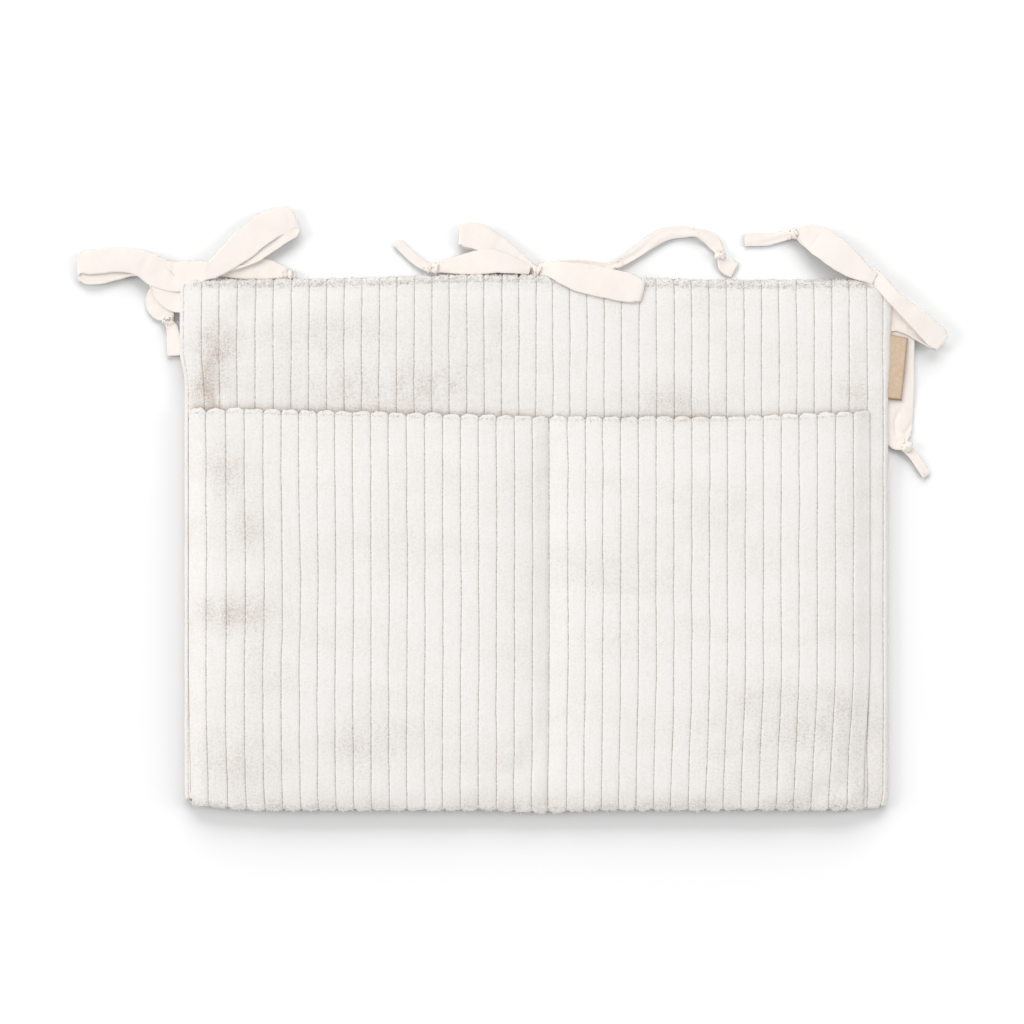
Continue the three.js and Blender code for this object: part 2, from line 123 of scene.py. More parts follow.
def smooth_step(t):
    """Rises smoothly from 0 to 1 while t goes from 0 to 1."""
    t = np.clip(t, 0.0, 1.0)
    return t * t * (3.0 - 2.0 * t)


def bump(x, centre, spread):
    """A bell curve: 1 at the centre, and about a third at the spread."""
    return np.exp(-((x - centre) / spread) ** 2)


def lumps(x, y, size, seed):
    """Smooth random field from -1 to 1 whose lumps are about size across. Each use has its own seed."""
    table = np.random.RandomState(seed).uniform(-1.0, 1.0, (256, 256))
    u, v = np.broadcast_arrays(np.asarray(x, float) / size, np.asarray(y, float) / size)
    i, j = np.floor(u).astype(int), np.floor(v).astype(int)
    s, t = smooth_step(u - i), smooth_step(v - j)
    low = table[i % 256, j % 256] * (1 - s) + table[(i + 1) % 256, j % 256] * s
    high = table[i % 256, (j + 1) % 256] * (1 - s) + table[(i + 1) % 256, (j + 1) % 256] * s
    return low * (1 - t) + high * t


def spline(rows, count):
    """Catmull-Rom curve through rows of numbers, sampled count times."""
    rows = np.asarray(rows, float)
    ends = np.vstack([2 * rows[0] - rows[1], rows, 2 * rows[-1] - rows[-2]])
    t = np.linspace(0, len(rows) - 1, count)
    i = np.minimum(t.astype(int), len(rows) - 2)
    f = (t - i)[:, None]
    a, b, c, d = (ends[i + k] for k in range(4))
    return 0.5 * (2 * b + (c - a) * f + (2 * a - 5 * b + 4 * c - d) * f ** 2
                  + (3 * b - a - 3 * c + d) * f ** 3)


def unit(vectors):
    """Vectors made one long."""
    return vectors / np.maximum(np.linalg.norm(vectors, axis=-1, keepdims=True), 1e-9)


# Objects

def deselect():
    """Leaves no object selected."""
    bpy.ops.object.select_all(action="DESELECT")


def activate(obj):
    """Selects an object alone and makes it the active one."""
    deselect()
    obj.select_set(True)
    bpy.context.view_layer.objects.active = obj


def cloth_object(name, points, faces, materials, uv=None, fields=None, face_slots=None):
    """A smooth mesh from points in millimetres, with a UV map along the cloth and named point fields."""
    mesh = bpy.data.meshes.new(name)
    mesh.from_pydata((np.asarray(points) * MM).tolist(), [], faces)
    for material in materials:
        mesh.materials.append(material)
    if face_slots is not None:
        mesh.polygons.foreach_set("material_index", np.asarray(face_slots, np.int32))
    if uv is not None:
        corners = np.empty(len(mesh.loops), np.int32)
        mesh.loops.foreach_get("vertex_index", corners)
        layer = mesh.uv_layers.new(name="cloth")
        layer.data.foreach_set("uv", np.asarray(uv, np.float32)[corners].ravel())
    for field, values in (fields or {}).items():
        data = mesh.attributes.new(field, "FLOAT", "POINT").data
        data.foreach_set("value", np.asarray(values, np.float32))
    mesh.update()
    obj = bpy.data.objects.new(name, mesh)
    bpy.context.scene.collection.objects.link(obj)
    mesh.shade_smooth()
    return obj


def join(name, objects):
    """Makes one named object of several."""
    activate(objects[0])
    for obj in objects[1:]:
        obj.select_set(True)
    if len(objects) > 1:
        bpy.ops.object.join()
    objects[0].name = objects[0].data.name = name
    return objects[0]


def apply_modifier(obj, kind, **settings):
    """Gives an object a modifier and applies it at once."""
    activate(obj)
    modifier = obj.modifiers.new(kind.title(), kind)
    for key, value in settings.items():
        setattr(modifier, key, value)
    bpy.ops.object.modifier_apply(modifier=modifier.name)
    return obj


def grid_faces(rows, columns, first=0, upwards=True):
    """Numbers of the points of a grid, and the faces between them."""
    ids = first + np.arange(rows * columns).reshape(rows, columns)
    a, b, c, d = ids[:-1, :-1], ids[:-1, 1:], ids[1:, 1:], ids[1:, :-1]
    order = (a, b, c, d) if upwards else (a, d, c, b)
    return ids, np.stack(order, -1).reshape(-1, 4).tolist()


def zip_rims(upper, upper_at, lower, lower_at, flip):
    """Triangles between two rims that run side by side, whatever their counts of points."""
    faces = []
    i = j = 0
    while i < len(upper) - 1 or j < len(lower) - 1:
        along_upper = j == len(lower) - 1 or (i < len(upper) - 1 and upper_at[i + 1] <= lower_at[j + 1])
        corner = upper[i + 1] if along_upper else lower[j + 1]
        face = [int(upper[i]), int(lower[j]), int(corner)]
        faces.append(face[::-1] if flip else face)
        if along_upper:
            i += 1
        else:
            j += 1
    return faces


def layered_cloth(name, top, under, materials, uv, fields):
    """A closed body of cloth between a fine face and a coarse underside.

    top and under are (x values, y values, (rows, columns, 3) points).
    """
    (top_x, top_y, top_points), (under_x, under_y, under_points) = top, under
    upper, faces = grid_faces(len(top_y), len(top_x))
    face_count = len(faces)
    lower, under_faces = grid_faces(len(under_y), len(under_x), upper.size, upwards=False)
    rims = []
    for row, flip in ((0, False), (-1, True)):
        rims += zip_rims(upper[row], top_x, lower[row], under_x, flip)
    for column, flip in ((0, True), (-1, False)):
        rims += zip_rims(upper[:, column], top_y, lower[:, column], under_y, flip)
    points = np.vstack([top_points.reshape(-1, 3), under_points.reshape(-1, 3)])
    flat_under = np.stack(np.meshgrid(under_x, under_y), -1).reshape(-1, 2)
    all_uv = np.vstack([uv.reshape(-1, 2), flat_under * MM])
    padding = np.zeros(len(under_x) * len(under_y))
    all_fields = {key: np.concatenate([np.ravel(values), padding]) for key, values in fields.items()}
    slots = [0] * face_count + [1] * (len(under_faces) + len(rims))
    return cloth_object(name, points, faces + under_faces + rims, materials, all_uv, all_fields, slots)


def place(obj, body, slot, *nodes):
    """The piece rides on a body and stands for nodes of the frame, which are hidden. Its slot is not used.
    """
    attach(obj, body)
    if nodes:
        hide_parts(*nodes)
    return obj


# Materials

def size_mm(name):
    """One of the sizes that a user can change, in millimetres."""
    return getattr(bpy.context.scene.organizer_sizes, name) / MM


def colour(hex_text):
    """sRGB hex to the linear colour that a socket takes."""
    parts = [int(hex_text[i:i + 2], 16) / 255 for i in (1, 3, 5)]
    linear = [p / 12.92 if p <= 0.04045 else ((p + 0.055) / 1.055) ** 2.4 for p in parts]
    return (*linear, 1.0)


def add_node(tree, kind, settings=None, inputs=None):
    """Adds a node, sets its properties and fills or links its inputs, by name or number."""
    node = tree.nodes.new(kind)
    for key, value in (settings or {}).items():
        if key == "stops":
            node.color_ramp.elements.remove(node.color_ramp.elements[0])
            node.color_ramp.elements[0].position, node.color_ramp.elements[0].color = value[0]
            for position, tint in value[1:]:
                node.color_ramp.elements.new(position).color = tint
        else:
            setattr(node, key, value)
    for key, value in (inputs or {}).items():
        if isinstance(value, bpy.types.NodeSocket):
            tree.links.new(value, node.inputs[key])
        else:
            node.inputs[key].default_value = value
    return node


def new_material(name, roughness, sheen=0.0, sheen_roughness=0.5):
    """A material with one Principled shader, and its node tree."""
    material = bpy.data.materials.new(name)
    material.use_nodes = True
    tree = material.node_tree
    shader = tree.nodes["Principled BSDF"]
    shader.inputs["Roughness"].default_value = roughness
    shader.inputs["Specular IOR Level"].default_value = 0.2
    shader.inputs["Sheen Weight"].default_value = sheen
    shader.inputs["Sheen Roughness"].default_value = sheen_roughness
    return material, tree, shader


def corduroy_pile():
    """Cotton corduroy with wide cut-pile wales: a soft matt bloom, pale combed ribs that turn darker where
    the pile lies the other way and where shade is painted in, a fine speckle of ruffled tufts there, and
    the bare brownish weave between them, which is darkened further as painted shade of the grooves."""
    material, tree, shader = new_material("cut_pile_corduroy", 0.95, sheen=0.06, sheen_roughness=0.4)
    tints = bpy.context.scene.organizer_colours
    cloth = add_node(tree, "ShaderNodeUVMap", {"uv_map": "cloth"}).outputs["UV"]
    place_on = add_node(tree, "ShaderNodeTexCoord").outputs["Object"]
    wale = add_node(tree, "ShaderNodeSeparateXYZ", inputs={0: cloth}).outputs["X"]
    nap = add_node(tree, "ShaderNodeAttribute", {"attribute_name": "nap"}).outputs["Fac"]
    ruffle = add_node(tree, "ShaderNodeAttribute", {"attribute_name": "ruffle"}).outputs["Fac"]

    # The strokes of the combed pile are 2.4 by 24 mm, and the slanted brush marks 45 by 110 mm.
    grain_scale = 1 / bpy.context.scene.organizer_sizes.pile_grain
    tufts = add_node(tree, "ShaderNodeTexNoise", inputs={
        "Vector": place_on, "Scale": grain_scale, "Detail": 2.0, "Roughness": 0.8}).outputs["Fac"]
    combed = add_node(tree, "ShaderNodeMapping", {"vector_type": "POINT"},
                      {"Vector": place_on, "Scale": (1 / 0.0024, 1 / 0.024, 1.0)}).outputs["Vector"]
    strokes = add_node(tree, "ShaderNodeTexNoise", inputs={
        "Vector": combed, "Scale": 1.0, "Detail": 2.0, "Roughness": 0.6}).outputs["Fac"]
    slanted = add_node(tree, "ShaderNodeMapping", {"vector_type": "POINT"}, {
        "Vector": place_on, "Rotation": (0, 0, math.radians(-32)),
        "Scale": (1 / 0.11, 1 / 0.045, 1.0)}).outputs["Vector"]
    brushed = add_node(tree, "ShaderNodeTexNoise", inputs={
        "Vector": slanted, "Scale": 1.0, "Detail": 3.0, "Roughness": 0.55}).outputs["Fac"]

    # How far the pile lies the wrong way: the named patches, long slanted brush marks and each tuft. The
    # attribute also brings painted shade, which darkens the pile the same way.
    marks = add_node(tree, "ShaderNodeMapRange", inputs={
        "Value": brushed, "From Min": 0.42, "From Max": 0.7,
        "To Min": 0.0, "To Max": 0.22}).outputs["Result"]
    turned = add_node(tree, "ShaderNodeMath", {"operation": "ADD"}, {0: marks, 1: nap}).outputs[0]
    grain_gain = add_node(tree, "ShaderNodeMath", {"operation": "MULTIPLY_ADD"},
                          {0: ruffle, 1: 2.2, 2: 0.85}).outputs[0]
    tuft_swing = add_node(tree, "ShaderNodeMath", {"operation": "SUBTRACT"}, {0: 0.5, 1: tufts}).outputs[0]
    grain = add_node(tree, "ShaderNodeMath", {"operation": "MULTIPLY"},
                     {0: tuft_swing, 1: grain_gain}).outputs[0]
    stroke_swing = add_node(tree, "ShaderNodeMath", {"operation": "MULTIPLY_ADD"},
                            {0: strokes, 1: -0.36, 2: 0.18}).outputs[0]
    base = add_node(tree, "ShaderNodeMath", {"operation": "ADD"}, {0: turned, 1: stroke_swing}).outputs[0]
    lie = add_node(tree, "ShaderNodeMath", {"operation": "ADD"}, {0: base, 1: grain}).outputs[0]
    pile = add_node(tree, "ShaderNodeValToRGB", {"stops": (
        (0.0, tints.pile_combed), (0.25, tints.pile_even), (0.6, tints.pile_turned),
        (1.0, tints.pile_dark))}, {"Fac": lie}).outputs["Color"]

    # The bare weave between the wales shows as a broken line about 0.6 mm wide; its colour is partly its
    # own and partly painted shade of the groove.
    beside = add_node(tree, "ShaderNodeMath", {"operation": "PINGPONG"}, {0: wale, 1: 0.5}).outputs[0]
    breaks = add_node(tree, "ShaderNodeMath", {"operation": "MULTIPLY_ADD"},
                      {0: tufts, 1: 0.11, 2: -0.055}).outputs[0]
    frayed = add_node(tree, "ShaderNodeMath", {"operation": "ADD"}, {0: beside, 1: breaks}).outputs[0]
    ground_line_and_shade = add_node(tree, "ShaderNodeMapRange", inputs={
        "Value": frayed, "From Min": 0.008, "From Max": 0.032,
        "To Min": 0.72, "To Max": 0.0}).outputs["Result"]
    mixed = add_node(tree, "ShaderNodeMix", {"data_type": "RGBA"},
                     {0: ground_line_and_shade, 6: pile, 7: tints.ground_and_groove_shade}).outputs[2]
    tree.links.new(mixed, shader.inputs["Base Color"])

    height = add_node(tree, "ShaderNodeMath", {"operation": "MULTIPLY"},
                      {0: tufts, 1: grain_gain}).outputs[0]
    normal = add_node(tree, "ShaderNodeBump", inputs={
        "Strength": 0.6, "Distance": 0.0010, "Height": height}).outputs["Normal"]
    tree.links.new(normal, shader.inputs["Normal"])
    return material


def woven_cotton(name, light, shade, thread, rough=0.85, bump_height=0.00012):
    """Plain woven cotton: a matt, warm white with a fine over-and-under grid and a few thicker slubs. Where
    a ribbon is gathered into a knot, small brownish spots of painted shade stand for the shade between its
    pleats.
    The real threads are 0.25 mm apart, too fine to show, so they are drawn at the size given."""
    material, tree, shader = new_material(name, rough, sheen=0.05)
    cloth = add_node(tree, "ShaderNodeUVMap", {"uv_map": "cloth"}).outputs["UV"]
    waves = []
    for direction in ("X", "Y"):
        waves.append(add_node(tree, "ShaderNodeTexWave", {
            "wave_type": "BANDS", "bands_direction": direction, "wave_profile": "SIN"},
            {"Vector": cloth, "Scale": 1 / (thread * WAVE_BANDS), "Distortion": 0.8,
             "Detail": 1.0}).outputs["Fac"])
    weave = add_node(tree, "ShaderNodeMath", {"operation": "MULTIPLY"},
                     {0: waves[0], 1: waves[1]}).outputs[0]
    slubs = add_node(tree, "ShaderNodeTexNoise", inputs={
        "Vector": cloth, "Scale": 1 / 0.012, "Detail": 3.0, "Roughness": 0.65}).outputs["Fac"]
    tone = add_node(tree, "ShaderNodeMath", {"operation": "MULTIPLY_ADD"},
                    {0: weave, 1: 0.3, 2: slubs}).outputs[0]
    tint = add_node(tree, "ShaderNodeValToRGB", {"stops": (
        (0.25, shade), (0.85, light))}, {"Fac": tone}).outputs["Color"]
    gathered = add_node(tree, "ShaderNodeAttribute", {"attribute_name": "gathered"}).outputs["Fac"]
    place_on = add_node(tree, "ShaderNodeTexCoord").outputs["Object"]
    # Spots of painted shade between the pleats, only where the ribbon is gathered.
    gaps = add_node(tree, "ShaderNodeTexNoise", inputs={
        "Vector": place_on, "Scale": 1 / 0.0028, "Detail": 1.0, "Roughness": 0.6}).outputs["Fac"]
    pleat_shade_spots = add_node(tree, "ShaderNodeMapRange", inputs={
        "Value": gaps, "From Min": 0.56, "From Max": 0.66, "To Min": 0.0, "To Max": 0.75}).outputs["Result"]
    pleat_shade_amount = add_node(tree, "ShaderNodeMath", {"operation": "MULTIPLY"},
                     {0: pleat_shade_spots, 1: gathered}).outputs[0]
    mixed = add_node(tree, "ShaderNodeMix", {"data_type": "RGBA"},
                     {0: pleat_shade_amount, 6: tint, 7: bpy.context.scene.organizer_colours.knot_pleat_shade}).outputs[2]
    tree.links.new(mixed, shader.inputs["Base Color"])
    normal = add_node(tree, "ShaderNodeBump", inputs={
        "Strength": 0.4, "Distance": bump_height, "Height": weave}).outputs["Normal"]
    tree.links.new(normal, shader.inputs["Normal"])
    return material


def fibre_wadding():
    """Bonded polyester wadding: a bright, dull fleece of tangled fibres."""
    material, tree, shader = new_material("bonded_wadding", 1.0, sheen=0.1)
    tints = bpy.context.scene.organizer_colours
    place_on = add_node(tree, "ShaderNodeTexCoord").outputs["Object"]
    tangle = add_node(tree, "ShaderNodeTexNoise", inputs={
        "Vector": place_on, "Scale": 1 / 0.004, "Detail": 6.0, "Roughness": 0.8,
        "Distortion": 1.5}).outputs["Fac"]
    tint = add_node(tree, "ShaderNodeValToRGB", {"stops": (
        (0.3, tints.wadding_shade), (0.7, tints.wadding_light))}, {"Fac": tangle}).outputs["Color"]
    tree.links.new(tint, shader.inputs["Base Color"])
    normal = add_node(tree, "ShaderNodeBump", inputs={
        "Strength": 0.6, "Distance": 0.001, "Height": tangle}).outputs["Normal"]
    tree.links.new(normal, shader.inputs["Normal"])
    return material


def label_tape():
    """Woven satin label tape: tan, smooth, with a slight lengthwise gleam and fine crosswise ribs."""
    material, tree, shader = new_material("satin_label_tape", 0.5)
    tints = bpy.context.scene.organizer_colours
    cloth = add_node(tree, "ShaderNodeUVMap", {"uv_map": "cloth"}).outputs["UV"]
    ribs = add_node(tree, "ShaderNodeTexWave", {"wave_type": "BANDS", "bands_direction": "Y"},
                    {"Vector": cloth, "Scale": 1 / (0.0009 * WAVE_BANDS), "Distortion": 0.6}).outputs["Fac"]
    mottle = add_node(tree, "ShaderNodeTexNoise", inputs={
        "Vector": cloth, "Scale": 1 / 0.0045, "Detail": 5.0, "Roughness": 0.8}).outputs["Fac"]
    tone = add_node(tree, "ShaderNodeMath", {"operation": "MULTIPLY_ADD"},
                    {0: ribs, 1: 0.25, 2: mottle}).outputs[0]
    worn = add_node(tree, "ShaderNodeAttribute", {"attribute_name": "cut_edge"}).outputs["Fac"]
    tint = add_node(tree, "ShaderNodeValToRGB", {"stops": (
        (0.36, tints.label_shade), (0.86, tints.label_light))}, {"Fac": tone}).outputs["Color"]
    mixed = add_node(tree, "ShaderNodeMix", {"data_type": "RGBA"},
                     {0: worn, 6: tint, 7: tints.label_cut}).outputs[2]
    tree.links.new(mixed, shader.inputs["Base Color"])
    normal = add_node(tree, "ShaderNodeBump", inputs={
        "Strength": 0.3, "Distance": 0.0002, "Height": ribs}).outputs["Normal"]
    tree.links.new(normal, shader.inputs["Normal"])
    return material


def spun_thread():
    """Spun polyester sewing thread: a dull cream with the twist of its plies."""
    material, tree, shader = new_material("spun_sewing_thread", 0.7, sheen=0.1)
    tints = bpy.context.scene.organizer_colours
    place_on = add_node(tree, "ShaderNodeTexCoord").outputs["Object"]
    twist = add_node(tree, "ShaderNodeTexWave", {"wave_type": "BANDS", "bands_direction": "DIAGONAL"},
                     {"Vector": place_on, "Scale": 1 / (0.0005 * WAVE_BANDS)}).outputs["Fac"]
    tint = add_node(tree, "ShaderNodeValToRGB", {"stops": (
        (0.2, tints.thread_shade), (0.8, tints.thread_light))}, {"Fac": twist}).outputs["Color"]
    tree.links.new(tint, shader.inputs["Base Color"])
    return material


MATERIALS = {}


def finish_named(name):
    """The material of a finish, made once."""
    if name not in MATERIALS:
        tints = bpy.context.scene.organizer_colours
        makers = {
            "corduroy": corduroy_pile,
            "backing": lambda: woven_cotton("corduroy_ground_weave", tints.backing_light,
                                            tints.backing_shade, 0.0012),
            "lining": lambda: woven_cotton("plain_cotton_lining", tints.lining_light,
                                           tints.lining_shade, 0.0014),
            "ribbon": lambda: woven_cotton("plain_cotton_ribbon", tints.ribbon_light, tints.ribbon_shade,
                                           bpy.context.scene.organizer_sizes.ribbon_weave),
            "wadding": fibre_wadding,
            "tape": label_tape,
            "thread": spun_thread,
        }
        MATERIALS[name] = makers[name]()
    return MATERIALS[name]


# Shape of the panel

def shoulder(distance):
    """1 at the edge, falling round to 0 where the crown is flat."""
    reach = np.clip(1 - distance / CROWN_BAND, 0, 1)
    return 1 - np.sqrt(1 - reach * reach)


def crown(x, y):
    """Height of the tops of the front panel's wales."""
    return (CROWN - SIDE_FALL * shoulder(HALF_WIDTH - np.abs(x))
            - END_FALL * shoulder(HALF_HEIGHT - np.abs(y)))


def wale_height(wale):
    """0 along the top of a wale and -1 in the groove beside it."""
    s = np.abs(2 * (wale % 1.0) - 1)
    return np.sqrt(np.maximum(0, 1 - s ** 5.5)) - 1


def scallop(wale):
    """How far the end of a wale falls back: nothing in its middle and 1 in the groove."""
    s = np.abs(2 * (wale % 1.0) - 1)
    return 1 - np.sqrt(np.maximum(0, 1 - s ** 2.5))


def scallop_end(wale, seed):
    """How far each wale's end falls back, in mm: rounded, and no two alike."""
    number = np.floor(wale) * 7.3
    deep = 2.7 * (1 + 0.35 * lumps(number, 0 * number, 1, seed))
    return deep * scallop(wale) + 0.5 * (1 + lumps(number, 0 * number, 1, seed + 1))


def wrinkle_distance(x, y):
    """Distance to the right of the wrinkle's ridge, which leans."""
    return x + 286 - 0.3 * (136 - y)


def wrinkle(x, y):
    """The fold in the front's cloth beside the pocket's left corner."""
    ridge = wrinkle_distance(x, y)
    along = bump(y, 124, 14)
    return along * (1.3 * bump(ridge, 0, 2.4) - 0.9 * bump(ridge, 5.5, 3.0))


def turn_over(distance, reach):
    """Cloth that turns down over an edge: its angle from flat, and its new distance from the edge."""
    angle = np.clip(1 - distance / reach, 0, None) * math.pi / 2
    inside = np.where(distance < reach, reach * (1 - np.sin(np.minimum(angle, math.pi))), distance)
    return angle, inside


def round_corner(x, y, half_width, half_height):
    """Moves points of a square corner into a rounded one."""
    a = np.abs(x) - (half_width - CORNER_ROUND)
    b = np.abs(y) - (half_height - CORNER_ROUND)
    corner = (a > 0) & (b > 0)
    length = np.hypot(a, b)
    scale = np.where(corner, np.maximum(a, b) / np.maximum(length, 1e-6), 1)
    new_x = np.where(corner, np.sign(x) * (half_width - CORNER_ROUND + a * scale), x)
    new_y = np.where(corner, np.sign(y) * (half_height - CORNER_ROUND + b * scale), y)
    return new_x, new_y


def edge_pull(x, y):
    """How far the sewn edges stray: the centre bow lifts the top edge, and the divider lowers the foot."""
    top = 1.3 + 4.2 * bump(x, -40, 95) - 1.0 * bump(x, 195, 60)
    foot = -1.3 - 2.0 * bump(x, 4, 28) + 3.6 * smooth_step((-245 - x) / 40)
    return top * smooth_step((y - 130) / 95) + foot * smooth_step((-150 - y) / 75)


def side_pull(x, y):
    """How far the side edges bulge out above the pocket's mouth. The right one does so all the way down."""
    left = 4.2 * smooth_step((y - 138) / 28) * (1 - smooth_step((HALF_WIDTH - 4 + x) / 18))
    right = 0.7 + 2.3 * smooth_step((y - 128) / 35) + 1.2 * smooth_step((y - 180) / 20)
    return right * smooth_step((x - HALF_WIDTH + 4) / 4) - left


NAP_SPOTS = (
    # x, y, half width, half height, strength: patches where the pile lies the other way
    (-274, 157, 16, 24, 0.78), (-287, 128, 11, 18, 0.30), (-184, 176, 70, 20, 0.26),
    (-150, 134, 60, 17, 0.34), (-86, 136, 32, 22, 0.26), (-39, 183, 28, 16, 0.20),
    (123, 127, 48, 15, 0.32), (272, 130, 14, 20, 0.34), (-263, 60, 16, 26, 0.32),
    (-240, 12, 24, 24, 0.28), (-262, -60, 36, 17, 0.48), (-227, -111, 20, 25, 0.24),
    (-258, -181, 36, 28, 0.34), (-146, -171, 30, 30, 0.26), (68, -30, 55, 18, 0.16),
    (62, -84, 45, 16, 0.16), (215, -148, 72, 34, 0.28), (262, -188, 50, 34, 0.26),
    (160, -196, 50, 26, 0.16), (263, 8, 14, 24, 0.18), (3, 70, 7, 42, 0.2),
)


def nap_field(x, y):
    """Where the pile lies the wrong way, from 0 to about 1, and how ruffled its tufts are."""
    nap = np.zeros(np.broadcast(x, y).shape)
    for centre_x, centre_y, half_x, half_y, strength in NAP_SPOTS:
        reach = ((x - centre_x) / half_x) ** 2 + ((y - centre_y) / half_y) ** 2
        nap = nap + 0.62 * strength * np.exp(-reach)
    ragged = 1 + 0.5 * lumps(x, y * 0.6, 9, 21)
    rims = 0.17 * smooth_step((-208 - y) / 14) * (0.7 + 0.7 * lumps(x, y * 0.3, 11, 22))
    rims = rims * (1 - 0.9 * smooth_step((-223.5 - y) / 3))
    combed_up = smooth_step((y - 215) / 4)
    ruffle = np.clip(0.08 + nap * 1.5 * ragged + rims * 2.2 + 0.35 * combed_up, 0, 1)
    across = (x + HALF_WIDTH) / (2 * HALF_WIDTH)
    return np.clip(nap * ragged + rims + 0.05 * (1 - across), 0, 1), ruffle


def wale_columns(first, last, edges):
    """Wale numbers of the columns of points: close in the grooves, and finest at both side edges."""
    shares = (0.0, 0.02, 0.05, 0.09, 0.16, 0.30, 0.50, 0.70, 0.84, 0.91, 0.95, 0.98)
    whole = range(math.floor(first), math.ceil(last))
    inner = np.array([wale + share for wale in whole for share in shares])
    inner = inner[(inner > first + edges) & (inner < last - edges)]
    side = np.linspace(0, edges, 9)
    return np.concatenate([first + side, inner, last - side[::-1]])


def spaced(*bands):
    """Values that run through bands of (start, end, step)."""
    parts = [np.linspace(a, b, max(2, round(abs(b - a) / step) + 1))[:-1] for a, b, step in bands]
    return np.concatenate(parts + [[bands[-1][1]]])


def waver(wale, y, long_seed, short_seed):
    """How far a wale strays sideways along its length, each in its own way."""
    own = wale * 40
    return 0.4 * lumps(own, y, 34, long_seed) + 0.2 * lumps(own, y, 7, short_seed)


def front_wale_x(wale, y):
    """Where a wale of the front lies. The cloth is drawn to the right, most of all left of the middle."""
    x = -HALF_WIDTH + np.where(wale < 0, LEFT_STRIP_WIDTH * (1 + wale / LEFT_STRIP),
                               FRONT_PITCH * wale + LEFT_STRIP_WIDTH * (1 - smooth_step(wale / 1.5)))
    drawn = np.interp(x, (-300, -280, -240, -190, -25, 20, 55, 265, 283, 297),
                      (0, 0.8, 2.2, 3.3, 3.3, 2.0, 1.0, 1.1, 1.8, 0.5))
    pinch = 2.4 * bump(x, -281, 8) * bump(y, 122, 22)
    inside = smooth_step((HALF_WIDTH - np.abs(x)) / 8)
    return x + drawn + pinch + inside * waver(wale, y, 31, 37)


def pocket_drawn(x, y):
    """How far the pocket's wales are drawn sideways, most of all halfway down on the left."""
    drawn = np.interp(x, (-297, -262, -231, -200, -140, -64, -3, 26, 60, 130, 222, 262, 283, 299),
                      (0, 3.8, 4.8, 4.3, 2.6, 1.3, 0.2, 1.4, 0.3, -0.7, -1.1, -0.4, 0.8, 0))
    return drawn * (0.65 + 0.4 * bump(y, -30, 90))


def pocket_lean(x, y):
    """How far the pocket's wales lean sideways at its foot, which is sewn narrower than its mouth."""
    left, right = POCKET_SIDES
    return np.interp(x, (left, -200, 60, right), (1.6, 1.2, -1.2, -5.0)) * smooth_step((-90 - y) / 130)


def pocket_wale_x(wale, y):
    """Where a wale of the pocket lies before it leans."""
    left, right = POCKET_SIDES
    pitch_left = (DIVIDER_RIB_LEFT - left) / DIVIDER_RIB
    pitch_right = (right - DIVIDER) / RIBS_RIGHT_OF_DIVIDER
    x = np.where(wale < DIVIDER_RIB, left + pitch_left * wale,
                 np.where(wale < DIVIDER_RIB + 1,
                          DIVIDER_RIB_LEFT + (DIVIDER - DIVIDER_RIB_LEFT) * (wale - DIVIDER_RIB),
                          DIVIDER + pitch_right * (wale - DIVIDER_RIB - 1)))
    inside = smooth_step(np.minimum(x - left, right - x) / 8)
    return x + pocket_drawn(x, y) + inside * waver(wale, y, 32, 36)


def pressed(x, y):
    """How much lower the front lies where the pocket covers it."""
    return 1.3 * smooth_step((mouth_line(x) - 8 - y) / 40) * covered(x, y)


def mouth_edge(x):
    """The mouth's own edge, with the ends of its wales."""
    left, right = POCKET_SIDES
    wale = np.interp(x - pocket_drawn(x, POCKET_TOP), (left, DIVIDER_RIB_LEFT, DIVIDER, right),
                     (0, DIVIDER_RIB, DIVIDER_RIB + 1, POCKET_WALES))
    return mouth_line(x) - scallop_end(wale, 83)


def covered(x, y):
    """1 where the pocket lies over the front, and 0 beside it."""
    left, right = POCKET_SIDES
    return smooth_step((np.minimum(x - left, right + pocket_lean(x, y) - x) + 1) / 7)


def mouth_line(x):
    """Height on the panel of the pocket's mouth, lowest right of the middle."""
    return np.interp(x, (-250, -163, -65, 0, 80, 150, 208, 280),
                     (116.2, 114, 111.4, 109.6, 109.3, 109.5, 110.6, 114.5))


